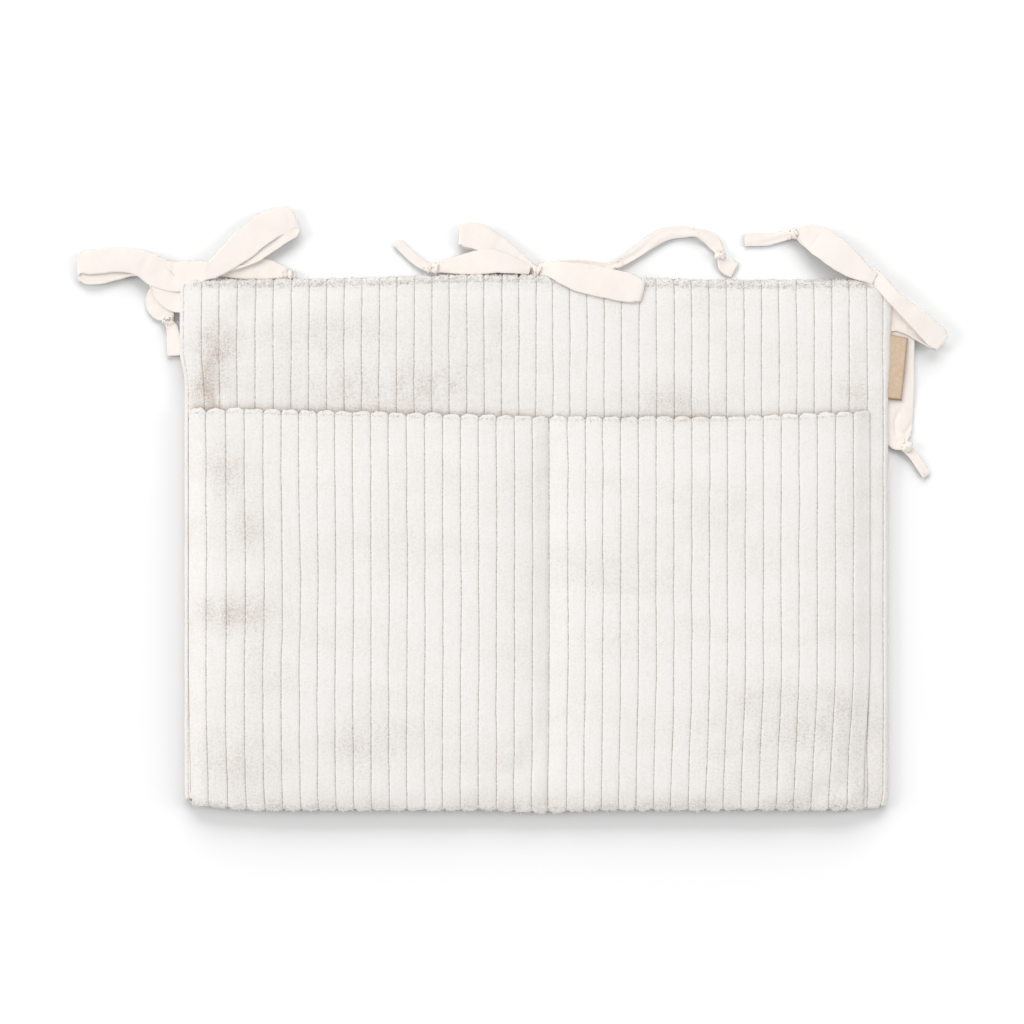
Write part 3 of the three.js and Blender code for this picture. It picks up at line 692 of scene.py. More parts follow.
def front_surface(wale, y_flat):
    """Points of the front panel's face."""
    x_flat = front_wale_x(wale, y_flat)
    foot_inset = 4.0 * smooth_step((POCKET_SIDES[1] - 5.5 - x_flat) / 6)
    half_height = np.where(y_flat < 0, HALF_HEIGHT - foot_inset, HALF_HEIGHT)
    y_flat = np.where(y_flat < 0, y_flat * half_height / HALF_HEIGHT, y_flat)
    turn_x, inside_x = turn_over(HALF_WIDTH - np.abs(x_flat), EDGE_TURN)
    turn_y, inside_y = turn_over(half_height - np.abs(y_flat), EDGE_TURN)
    x = np.sign(x_flat) * (HALF_WIDTH - inside_x)
    y = np.sign(y_flat) * (half_height - inside_y)
    flat = np.cos(turn_x) * np.cos(turn_y)
    z = SEAM_LEVEL + (crown(x, y) - pressed(x, y) - SEAM_LEVEL) * flat
    rough = smooth_step((y - 214) / 4)
    tuft = 0.14 * lumps(x, y, 1.9, 33) + rough * (0.5 * lumps(x, y, 1.5, 34) + 0.2 * lumps(x, y, 3.6, 38))
    stitch_y = HALF_HEIGHT - TOP_STITCH
    relief = size_mm("groove_depth") * wale_height(wale) + tuft + wrinkle(x, y)
    relief = relief - 1.2 * bump(y, mouth_edge(x) - 2, 4) * covered(x, y)
    relief = relief - 0.6 * bump(y, stitch_y, 1.1) * (0.7 + 0.6 * lumps(x, 0 * x, 2.6, 35))
    ends = np.where(y > 0, 0.4, 0.8) * scallop_end(wale, 81)
    ragged = ends + 0.8 * lumps(x, 0 * y, 1.5, 39) + 0.5 * lumps(x, 0 * y, 4, 40)
    y = y - ragged * smooth_step((np.abs(y) - HALF_HEIGHT + 5) / 5) * np.sign(y)
    direction = unit(np.stack([np.sign(x) * np.sin(turn_x), np.sign(y) * np.sin(turn_y), flat], -1))
    points = np.stack(np.broadcast_arrays(x, y, z), -1) + direction * relief[..., None]
    return shaped(points)


def shaped(points):
    """Rounds the corners of the outline and lets the edges stray."""
    x, y = round_corner(points[..., 0], points[..., 1], HALF_WIDTH, HALF_HEIGHT + POCKET_OVERHANG)
    return np.stack([x + side_pull(x, y), y + edge_pull(x, y), points[..., 2] + soft_wave(x, y)], -1)


def soft_wave(x, y):
    """Slow rise and fall of the padding, shared by both layers of cloth."""
    inner = smooth_step((HALF_WIDTH - np.abs(x)) / 25) * smooth_step((HALF_HEIGHT - np.abs(y)) / 25)
    return inner * 0.5 * lumps(x, y, 75, 41) + swell("front", x, y)


# How far the simulated cloth has risen, on a grid of points, by the name of the sheet
RISEN = {}


def swell(sheet, x, y):
    """How far a simulated sheet has risen at a place, smoothly from its grid of points."""
    if sheet not in RISEN:
        return np.zeros(np.broadcast(x, y).shape)
    grid, low, cell = RISEN[sheet]
    column, row = (np.asarray(x) - low[0]) / cell[0], (np.asarray(y) - low[1]) / cell[1]
    j, i = np.floor(column).astype(int), np.floor(row).astype(int)
    total = 0.0
    for di, down in enumerate(spline_weights(row - i)):
        for dj, across in enumerate(spline_weights(column - j)):
            at_row = np.clip(i + di - 1, 0, grid.shape[0] - 1)
            at_column = np.clip(j + dj - 1, 0, grid.shape[1] - 1)
            total = total + grid[at_row, at_column] * down * across
    return total


def spline_weights(f):
    """Weights of four neighbours for a smooth curve between the middle two."""
    return ((1 - f) ** 3 / 6, (3 * f ** 3 - 6 * f * f + 4) / 6,
            (-3 * f ** 3 + 3 * f * f + 3 * f + 1) / 6, f ** 3 / 6)


# Operators

def changeable(name, description, hex_text):
    """A colour that a user can change, with its default in sRGB hex."""
    return FloatVectorProperty(name=name, description=description, subtype="COLOR", size=4, min=0.0,
                               max=1.0, default=colour(hex_text))


class OrganizerColours(bpy.types.PropertyGroup):
    """Colours that a user would change."""
    pile_combed: changeable("Combed pile", "Pile that is combed the right way", "#F7F4F1")
    pile_even: changeable("Even pile", "Pile between combed and turned", "#F1EDE9")
    pile_turned: changeable("Turned pile", "Pile that lies the other way", "#E2DAD2")
    pile_dark: changeable("Dark pile", "Pile that lies the other way and is ruffled most", "#CBBEB3")
    # Partly the weave's own colour and partly painted shade of the grooves between the wales.
    ground_and_groove_shade: changeable("Ground", "Bare ground of the corduroy between its wales", "#CABFB4")
    backing_light: changeable("Backing", "Threads on the corduroy's own back", "#EFE9E2")
    backing_shade: changeable("Backing, shade", "Gaps between the threads of that back", "#E0D7CC")
    lining_light: changeable("Lining", "Threads of the lining", "#F4ECE3")
    lining_shade: changeable("Lining, shade", "Gaps between the threads of the lining", "#E9DFD3")
    ribbon_light: changeable("Ribbon", "Threads of the ribbons", "#FDF7F1")
    ribbon_shade: changeable("Ribbon, shade", "Gaps between the threads of the ribbons", "#F9EFE7")
    # Painted shade: this brownish colour stands for the shade between the pleats of a knot.
    knot_pleat_shade: changeable("Knot gaps", "Gaps between the pleats of a knot", "#A8917A")
    wadding_light: changeable("Wadding", "Fibres of the wadding", "#FAFAF9")
    wadding_shade: changeable("Wadding, shade", "Gaps between the fibres of the wadding", "#E9E9E8")
    label_light: changeable("Label", "Ribs of the label's tape", "#E3CEB7")
    label_shade: changeable("Label, shade", "Gaps between the ribs of the label's tape", "#C8AC8E")
    label_cut: changeable("Label, cut", "Cut ends of the label's tape", "#8F7355")
    thread_light: changeable("Thread", "Plies of the sewing thread", "#F2ECE5")
    thread_shade: changeable("Thread, shade", "Twist between the plies of the sewing thread", "#DDD4CA")
    floor: changeable("Floor", "Studio floor under the object", "#ADADAD")
    floor_far: changeable("Floor, far", "Studio floor further out, which is lit less", "#F8F8F8")


class OrganizerSizes(bpy.types.PropertyGroup):
    """Sizes that a user would change."""
    groove_depth: FloatProperty(name="Groove", description="Depth of the grooves between the wales",
                                default=1.5 * MM, unit="LENGTH")
    pile_grain: FloatProperty(name="Pile grain", description="Size of the pile's ruffled tufts",
                              default=1.8 * MM, unit="LENGTH")
    hem_depth: FloatProperty(name="Hem", description="Depth of the hem at the pocket's mouth",
                             default=9.5 * MM, unit="LENGTH")
    label_reach: FloatProperty(name="Label", description="How far the label stands out of its seam",
                               default=18.6 * MM, unit="LENGTH")
    ribbon_weave: FloatProperty(name="Ribbon weave", description="Distance between threads, as drawn",
                                default=1.1 * MM, unit="LENGTH")
    stitch_length: FloatProperty(name="Stitch", description="Length of one stitch", default=3.0 * MM,
                                 unit="LENGTH")
    thread: FloatProperty(name="Thread", description="Thickness of the sewing thread", default=0.45 * MM,
                          unit="LENGTH")
    tuft: FloatProperty(name="Tuft", description="Length of one loose tuft of pile", default=1.9 * MM,
                        unit="LENGTH")
    ribbon_columns: IntProperty(name="Ribbon points", description="Points across a ribbon", default=29,
                                min=9)


class ORGANIZER_OT_simulation(bpy.types.Operator):
    """Cloth simulation: how the front and the pocket puff up and buckle between the seams that hold them"""
    bl_idname = "organizer.simulation"
    bl_label = "Cloth simulation"
    frames = 24
    cells = (66, 50)

    def simulate(self, name, low, high, sewn, cap):
        """Blows up a slack flat sheet that is held along its seams, and keeps how far its points rise."""
        columns, rows = self.cells
        size, centre = np.subtract(high, low), np.add(high, low) / 2
        deselect()
        bpy.ops.mesh.primitive_grid_add(x_subdivisions=columns, y_subdivisions=rows, size=1.0)
        obj = bpy.context.active_object
        obj.scale = (size[0] * MM, size[1] * MM, 1)
        obj.location = (centre[0] * MM, centre[1] * MM, 0)
        bpy.ops.object.transform_apply(location=True, rotation=True, scale=True)
        count = len(obj.data.vertices)
        co = np.empty(count * 3)
        obj.data.vertices.foreach_get("co", co)
        flat = co.reshape(-1, 3) / MM
        held = sewn(flat[:, 0], flat[:, 1])
        start = flat.copy()
        start[:, 2] = np.where(held, 0, 0.8 + 0.6 * lumps(flat[:, 0], flat[:, 1], 42, 44))
        obj.data.vertices.foreach_set("co", (start * MM).ravel())
        obj.vertex_groups.new(name="sewn").add([int(i) for i in np.flatnonzero(held)], 1.0, "REPLACE")
        bpy.ops.object.modifier_add(type="CLOTH")
        cloth = obj.modifiers[-1]
        settings = cloth.settings
        settings.quality = 6
        settings.mass = 0.02
        settings.vertex_group_mass = "sewn"
        settings.tension_stiffness = settings.compression_stiffness = 12.0
        settings.shear_stiffness = 5.0
        settings.bending_stiffness = 0.8
        settings.shrink_min = -0.012
        settings.use_pressure = True
        settings.uniform_pressure_force = 4.0
        settings.effector_weights.gravity = 0.0
        cloth.collision_settings.use_collision = False
        cloth.point_cache.frame_start, cloth.point_cache.frame_end = 1, self.frames
        for number in range(1, self.frames + 1):
            bpy.context.scene.frame_set(number)
        bpy.ops.object.modifier_apply(modifier=cloth.name)
        obj.data.vertices.foreach_get("co", co)
        bpy.data.objects.remove(obj)
        bpy.context.scene.frame_set(1)
        risen = np.clip(co.reshape(-1, 3)[:, 2] / MM, *cap)
        RISEN[name] = (risen.reshape(rows + 1, columns + 1), np.array(low), size / self.cells)

    def execute(self, context):
        wide, tall = HALF_WIDTH - 6, HALF_HEIGHT - TOP_STITCH
        self.simulate("front", (-wide, -tall), (wide, tall),
                      lambda x, y: (np.abs(x) > wide - 1) | (np.abs(y) > tall - 1), (-0.4, 2.2))
        left, right = POCKET_SIDES
        self.simulate("pocket", (left, -HALF_HEIGHT), (right, POCKET_TOP),
                      lambda x, y: (x < left + 1) | (x > right - 1) | (y < -HALF_HEIGHT + 1)
                      | (np.abs(x - DIVIDER) < 5), (0.0, 3.0))
        return {"FINISHED"}


class ORGANIZER_OT_back_lining(bpy.types.Operator):
    """Plain cotton lining, flat on its back, with its edges turned up to the side seams"""
    bl_idname = "organizer.back_lining"
    bl_label = "Back lining"

    def execute(self, context):
        x, y = (spaced((-half, -half + 8, 1.0), (-half + 8, half - 8, 4.5), (half - 8, half, 1.0))
                for half in (HALF_WIDTH, HALF_HEIGHT))
        grid_x, grid_y = np.meshgrid(x, y)
        inside = np.minimum(HALF_WIDTH - np.abs(grid_x), HALF_HEIGHT - np.abs(grid_y))
        pucker = 0.5 * (1 + np.sin((grid_x + grid_y) / 2.1)) * bump(inside, 3, 3.5)
        waves = 0.35 * (1 + lumps(grid_x, grid_y, 38, 51)) + 0.25 * (1 + lumps(grid_x, grid_y, 12, 52))
        rise = 1.5 * (1 - smooth_step(inside / 4.5)) + 0.5 * pucker + waves * smooth_step(inside / 12)
        level = {"under": rise * 0.55, "top": np.minimum(rise * 0.55 + 0.45, 1.75)}
        sheets = {}
        for side, z in level.items():
            px, py = round_corner(grid_x * 0.9985, grid_y * 0.998, HALF_WIDTH, HALF_HEIGHT)
            sheets[side] = np.stack([px + side_pull(px, py), py + edge_pull(px, py), z], -1)
        uv = np.stack([grid_x, grid_y], -1) * MM
        cotton = finish_named("lining")
        obj = layered_cloth("back_lining", (x, y, sheets["top"]), (x, y, sheets["under"]),
                            [cotton, cotton], uv, {})
        place(obj, "panel", "lining", "back_panel")
        return {"FINISHED"}


class ORGANIZER_OT_wadding(bpy.types.Operator):
    """Sheet of wadding between the lining and the front panel"""
    bl_idname = "organizer.wadding"
    bl_label = "Wadding"

    def execute(self, context):
        edge_x, edge_y = HALF_WIDTH - 8, HALF_HEIGHT - 9
        x = spaced((-edge_x, edge_x, 7))
        y = spaced((-edge_y, edge_y, 7))
        grid_x, grid_y = np.meshgrid(x, y)
        inside = np.minimum(edge_x - np.abs(grid_x), edge_y - np.abs(grid_y))
        top_z = crown(grid_x, grid_y) + soft_wave(grid_x, grid_y)
        top_z = top_z - 4.6 - 0.4 * (1 + lumps(grid_x, grid_y, 11, 61))
        top_z = 2.2 + (top_z - 2.2) * (0.45 + 0.55 * smooth_step(inside / 9))
        under_z = np.full_like(top_z, SEAM_LEVEL)
        pull = edge_pull(grid_x, grid_y) * 0.8
        top = np.stack([grid_x, grid_y + pull, top_z], -1)
        under = np.stack([grid_x, grid_y + pull, under_z], -1)
        fleece = finish_named("wadding")
        uv = np.stack([grid_x, grid_y], -1) * MM
        obj = layered_cloth("wadding", (x, y, top), (x, y, under), [fleece, fleece], uv, {})
        place(obj, "panel", "wadding", "padding")
        return {"FINISHED"}


class ORGANIZER_OT_front_panel(bpy.types.Operator):
    """Corduroy front of the padded panel, with its topstitched top edge"""
    bl_idname = "organizer.front_panel"
    bl_label = "Front panel"

    def execute(self, context):
        wales = wale_columns(-LEFT_STRIP, FRONT_WALES, 0.36)
        rows = spaced((-HALF_HEIGHT, -HALF_HEIGHT + 6, 0.8), (-HALF_HEIGHT + 6, 92, 9.0), (92, 104, 2.6),
                      (104, 117, 0.8), (117, 208, 2.6), (208, HALF_HEIGHT - 5, 0.9),
                      (HALF_HEIGHT - 5, HALF_HEIGHT, 0.6))
        wale, y = np.meshgrid(wales, rows)
        points = front_surface(wale, y)
        nap, ruffle = nap_field(points[..., 0], points[..., 1])
        # Painted shade on the pile above the pocket's mouth, soft, with a dark broken line where they meet.
        above = points[..., 1] - mouth_edge(points[..., 0])
        under_mouth = covered(points[..., 0], points[..., 1])
        shade = 0.13 * bump(above, 1.5, 3.5) * (1.3 - smooth_step((points[..., 0] + 60) / 120))
        broken = 1 + 0.4 * lumps(points[..., 0], 0 * above, 2.2, 23)
        shade = (shade + 0.45 * bump(above, -0.2, 1.4) * broken) * under_mouth
        # Painted shade in the hollow on the far side of the wrinkle.
        ridge = wrinkle_distance(points[..., 0], points[..., 1])
        nap = np.clip(nap + shade + 0.55 * bump(ridge, 6, 4.5) * bump(points[..., 1], 124, 16), 0, 1)
        uv = np.stack([wale, y * MM], -1)
        under_x = spaced((-HALF_WIDTH, HALF_WIDTH, 12))
        under_y = spaced((-HALF_HEIGHT, HALF_HEIGHT, 12))
        x, y_under = np.meshgrid(under_x, under_y)
        inside = np.minimum(HALF_WIDTH - np.abs(x), HALF_HEIGHT - np.abs(y_under))
        rise = crown(x, y_under) - 2.5 - FACE_CLOTH - SEAM_LEVEL
        z = SEAM_LEVEL + rise * smooth_step((inside - 1) / 8)
        foot = np.where(y_under < 0, 0.977, 0.996)
        under = shaped(np.stack([x * 0.996, y_under * foot, z], -1))
        materials = [finish_named("corduroy"), finish_named("backing")]
        # The field of the pile's lie also carries the painted shade above the pocket's mouth and in the
        # wrinkle's hollow.
        obj = layered_cloth("front_corduroy", (wales * FRONT_PITCH - HALF_WIDTH, rows, points),
                            (under_x, under_y, under), materials, uv, {"nap": nap, "ruffle": ruffle})
        place(obj, "panel", "corduroy", "front_panel")
        return {"FINISHED"}


def pocket_room(x, y):
    """How far the pocket stands off the front panel: nothing along its seams and the divider."""
    left, right = POCKET_SIDES
    reach = np.minimum(np.minimum(x - left, right - x), np.abs(x - DIVIDER)) / POCKET_SLOPE
    across = np.sin(np.clip(reach, 0, 1) * math.pi / 2)
    lift = np.clip((y + HALF_HEIGHT) / FLOOR_SLOPE, 0.02, 1) ** 0.7
    return POCKET_ROOM * across * lift * (1 - 0.6 * smooth_step((y - 50) / 55))


def pocket_levels(x, y):
    """Heights of the pocket's underside and of the tops of its wales."""
    room = pocket_room(x, y)
    floor = crown(x, y) - pressed(x, y) + LAYER_GAP + room + swell("pocket", x, y)
    at_hem = smooth_step((y - (mouth_line(x) - size_mm("hem_depth"))) / 2)
    fold = np.minimum(HEM_FOLD * at_hem, np.maximum(0, room - 0.2))
    from_seam = np.minimum(x - POCKET_SIDES[0], POCKET_SIDES[1] - x)
    loft = 0.35 + 0.65 * smooth_step(from_seam / 14)
    return floor - fold, floor + 0.6 + (FACE_CLOTH + POCKET_LOFT) * loft


class ORGANIZER_OT_pocket_panel(bpy.types.Operator):
    """Corduroy pocket: hemmed mouth, sewn sides and foot, and the divider's seam"""
    bl_idname = "organizer.pocket_panel"
    bl_label = "Pocket panel"
    # Distance along its face from foot to mouth, and how round its mouth, foot and sides turn over
    total = 340.0
    mouth_turn = 2.4
    foot_turn = 4.5
    side_turn = 1.8

    @classmethod
    def surface(cls, wale, share):
        """Points of the pocket's face. share is the distance up from the foot, in mm, as if the pocket were
        as high everywhere, and the last stretch before the mouth turns over the hem's fold."""
        x_flat = pocket_wale_x(wale, share - HALF_HEIGHT)
        mouth = mouth_line(x_flat)
        y_flat = (-HALF_HEIGHT - POCKET_OVERHANG
                  + share / cls.total * (mouth + HALF_HEIGHT + POCKET_OVERHANG))
        left, right = POCKET_SIDES
        turn_side, inside = turn_over(np.minimum(x_flat - left, right - x_flat), cls.side_turn)
        leftwards = x_flat - left < right - x_flat
        x = np.where(leftwards, left + inside, right - inside)
        side_sign = np.where(leftwards, -1.0, 1.0)
        turn_foot, inside_foot = turn_over(y_flat + HALF_HEIGHT + POCKET_OVERHANG, cls.foot_turn)
        past = np.clip(1 - (mouth - y_flat) / cls.mouth_turn, 0, 1)
        turn_mouth = past * math.pi
        y = np.where(y_flat < 0, -HALF_HEIGHT - POCKET_OVERHANG + inside_foot, y_flat)
        y = np.where(past > 0, mouth - cls.mouth_turn * (1 - np.sin(turn_mouth)), y)
        under, top = pocket_levels(x, np.minimum(y_flat, mouth))
        middle, half = (under + top) / 2, (top - under) / 2
        z = np.where(past > 0, middle + half * np.cos(turn_mouth), top)
        flat = np.cos(turn_side) * np.cos(turn_foot)
        low = np.where(turn_foot > 0, SEAM_LEVEL + LAYER_GAP, under)
        z = np.where(past > 0, z, low + (z - low) * flat)
        z = np.where(turn_foot > 0, np.maximum(z, low), z)
        sides_down = np.where(past > 0, under + (z - under) * np.cos(turn_side), z)
        z = np.where(turn_side > 0, np.minimum(z, sides_down), z)
        hem = mouth - size_mm("hem_depth")
        stitches = 0.35 * bump(y, hem, 1.1) * (0.7 + 0.6 * lumps(x, 0 * x, 2.4, 71))
        stitches = stitches + 1.2 * bump(x, DIVIDER, 1.2)
        y = y - smooth_step(1 - (mouth - y) / 6) * (scallop_end(wale, 83) + 0.75 * lumps(x, 0 * y, 1.7, 75))
        at_foot = smooth_step(1 - (y + HALF_HEIGHT + POCKET_OVERHANG) / 5)
        y = y + at_foot * (0.8 * scallop_end(wale, 85) + 0.8 * lumps(x, 0 * y, 1.8, 74))
        rough = smooth_step(1 - (mouth - y) / 4) + smooth_step((-214 - y) / 6)
        tuft = 0.14 * lumps(x, y, 1.9, 72) + 0.55 * lumps(x, y, 1.5, 73) * rough
        relief = size_mm("groove_depth") * wale_height(wale) + tuft - stitches
        direction = unit(np.stack([
            side_sign * np.sin(turn_side), np.sin(turn_mouth) - np.sin(turn_foot),
            np.where(past > 0, np.cos(turn_mouth), flat)], -1))
        points = np.stack(np.broadcast_arrays(x, y, z), -1) + direction * relief[..., None]
        points[..., 0] += pocket_lean(points[..., 0], points[..., 1])
        return shaped(points)

    def execute(self, context):
        wales = wale_columns(0.0, POCKET_WALES, 0.16)
        total = self.total
        rows = spaced((0, 9, 0.9), (9, total - 24, 3.4), (total - 24, total - 3.2, 1.3),
                      (total - 3.2, total, 0.25))
        wale, share = np.meshgrid(wales, rows)
        points = self.surface(wale, share)
        nap, ruffle = nap_field(points[..., 0], points[..., 1])
        uv = np.stack([wale, share * MM], -1)
        under_x = spaced((POCKET_SIDES[0] + 0.4, POCKET_SIDES[1] - 0.4, 9))
        under_rows = 36
        part = np.linspace(0, 1, under_rows)[:, None]
        x = np.broadcast_to(under_x, (under_rows, len(under_x)))
        mouth = mouth_line(x) - self.mouth_turn
        y = -HALF_HEIGHT + 3.2 + part * (mouth + HALF_HEIGHT - 3.2)
        z = pocket_levels(x, y)[0]
        z = np.where(part == 0, SEAM_LEVEL + LAYER_GAP, z)
        under = shaped(np.stack([x + pocket_lean(x, y), y, z], -1))
        materials = [finish_named("corduroy"), finish_named("backing")]
        obj = layered_cloth("pocket_corduroy", (pocket_wale_x(wales, 0.0), rows / total, points),
                            (under_x, part[:, 0], under), materials, uv, {"nap": nap, "ruffle": ruffle})
        place(obj, "panel", "corduroy", "pocket_panel")
        return {"FINISHED"}


# Ribbons

def run(rows, count, side):
    """Stations along one run of ribbon: place, crosswise direction and width.
    side is -1 on the way back."""
    curve = spline(rows, count)
    along = np.gradient(curve[:, :2], axis=0)
    across = unit(np.stack([-along[:, 1], along[:, 0], 0 * along[:, 0]], -1)) * side
    return np.column_stack([curve[:, :3], across, curve[:, 3]])


def round_end(stations, reach=9.0):
    """Narrows a run towards its last station, so that the fold there looks round from above."""
    left = np.linalg.norm(stations[:, :2] - stations[-1, :2], axis=1)
    stations[:, 6] *= 0.8 + 0.2 * np.sqrt(1 - (1 - np.minimum(left / reach, 1)) ** 2)
    return stations


def loop_run(out, back):
    """A loop: its upper run out, the fold at its end and its lower run back."""
    upper, lower = round_end(run(out, 64, 1)), round_end(run(back, 56, -1)[::-1])[::-1]
    outwards = unit(upper[-1, :3] - upper[-2, :3])
    t = np.linspace(0, 1, 14)[1:-1, None]
    ease = 0.5 - 0.5 * np.cos(t * math.pi)
    fold = upper[-1] + (lower[0] - upper[-1]) * ease
    fold[:, :3] += outwards * 2.6 * np.sin(t * math.pi)
    fold[:, 3:6] = unit(upper[-1, 3:6] + (lower[0, 3:6] - upper[-1, 3:6]) * t)
    return np.vstack([upper, fold, lower])


def ribbon_section(width, columns):
    """Crosswise profile of a ribbon at each width: a flat top whose edges turn under where it is squeezed.
    Returns offsets across and inward."""
    half = RIBBON_WIDTH / 2
    flat = np.interp(width, (5, 23, 25), (2.5 - EDGE_TUCK, 11.5 - EDGE_TUCK, half))[:, None]
    used = np.minimum(half, 2.6 * flat + math.pi * EDGE_TUCK)
    s = np.linspace(-1, 1, columns)[None, :] * used
    past = np.clip(np.abs(s) - flat, 0, None)
    angle = np.minimum(past / EDGE_TUCK, math.pi)
    under = np.clip(past - math.pi * EDGE_TUCK, 0, None)
    across = np.minimum(np.abs(s), flat) + EDGE_TUCK * np.sin(angle) - under
    return np.sign(s) * across, EDGE_TUCK * (1 - np.cos(angle)), s


def from_line(points, corners):
    """Distance in plan of points from a line through corners."""
    nearest = np.full(points.shape[:-1], np.inf)
    for a, b in zip(np.array(corners[:-1]), np.array(corners[1:])):
        out = points[..., :2] - a
        share = np.clip(out @ (b - a) / ((b - a) @ (b - a)), 0, 1)
        nearest = np.minimum(nearest, np.linalg.norm(out - share[..., None] * (b - a), axis=-1))
    return nearest


def ribbon(name, stations, seed, crease=1.7, pleat=1.0, folds=()):
    """A band of cotton through the stations. Narrower than it was cut, its edges are turned under, and
    where it is drawn into a knot it is gathered into pleats too."""
    columns = bpy.context.scene.organizer_sizes.ribbon_columns
    at, across, width = stations[:, :3], unit(stations[:, 3:6]), stations[:, 6]
    along = unit(np.gradient(at, axis=0))
    inward = unit(np.cross(across, along))
    travelled = np.concatenate([[0], np.cumsum(np.linalg.norm(np.diff(at, axis=0), axis=1))])[:, None]
    offset, tuck, s = ribbon_section(width, columns)
    u = s / (RIBBON_WIDTH / 2)
    gather = 0.085 * pleat * width[:, None] * np.clip(14 / width - 1, 0, 1)[:, None]
    drift = lumps(travelled, 0 * travelled, 28, seed)
    pleats = gather * np.sin(2 * math.pi * 1.6 * u + 1.7 * drift + seed)
    wide = np.clip(width[:, None] / RIBBON_WIDTH, 0.2, 1)
    cup = 0.45 * u * u * wide
    soft = 0.5 * lumps(travelled, s, 15, seed + 1) + 0.9 * lumps(travelled, s * 0.6, 34, seed + 2)
    sharp = np.maximum(0, 1 - 4.5 * np.abs(lumps(travelled, s * 0.7, 24, seed + 4)))
    creases = crease * wide * (soft + 0.55 * sharp * (0.5 + lumps(travelled, s, 17, seed + 5)))
    edge = 1 + 0.025 * lumps(travelled, 0 * travelled, 7, seed + 3)
    points = at[:, None] + across[:, None] * (offset * edge)[..., None]
    points = points + inward[:, None] * (tuck + pleats + cup + creases)[..., None]
    for corners, depth, wide_fold in folds:
        points[..., 2] -= depth * bump(from_line(points, corners), 0, wide_fold)
    sunk = np.maximum(0, 0.5 * RIBBON_CLOTH + 0.05 - points[..., 2].min(axis=1))
    points[..., 2] += sunk[:, None]
    _, faces = grid_faces(len(at), columns)
    uv = np.stack(np.broadcast_arrays(s, travelled), -1) * MM
    # Where the ribbon is narrowest it is gathered, and painted shade is put between its pleats there.
    gathered = np.broadcast_to(np.clip((7.9 - width) / 2, 0, 1)[:, None], points.shape[:2])
    obj = cloth_object(name, points.reshape(-1, 3), faces, [finish_named("ribbon")], uv.reshape(-1, 2),
                       {"gathered": gathered.ravel()})
    apply_modifier(obj, "SOLIDIFY", thickness=RIBBON_CLOTH * MM, offset=0.0)
    obj["length"] = float(travelled[-1, 0])
    return obj


def tail_knot(name, x, y, heading, seed):
    """An overhand knot: a gathered ribbon wrapped round its own tail."""
    t = np.linspace(0, 1, 46)
    angle = 2 * math.pi * 1.75 * t - 0.8 + 0.4 * seed
    h = np.array([math.cos(math.radians(heading)), math.sin(math.radians(heading)), 0])
    s = np.array([-h[1], h[0], 0])
    loose = 1 + 0.14 * np.sin(math.pi * t) + 0.1 * np.sin(5.3 * t + seed)
    up = np.array([0, 0, 1])
    at = (np.array([x, y, 3.7]) + h * ((t - 0.5) * 4.6)[:, None]
          + s * (3.2 * loose * np.cos(angle))[:, None] + up * (2.1 * loose * np.sin(angle))[:, None])
    lean = np.cos(angle + seed)[:, None]
    across = unit(h + s * lean * 0.3 + up * lean * 0.2)
    width = 5.8 + 1.4 * np.sin(angle * 0.7 + seed)
    stations = np.column_stack([at, np.broadcast_to(across, at.shape), width])
    return ribbon(name, stations, seed, crease=1.6, pleat=2.6)


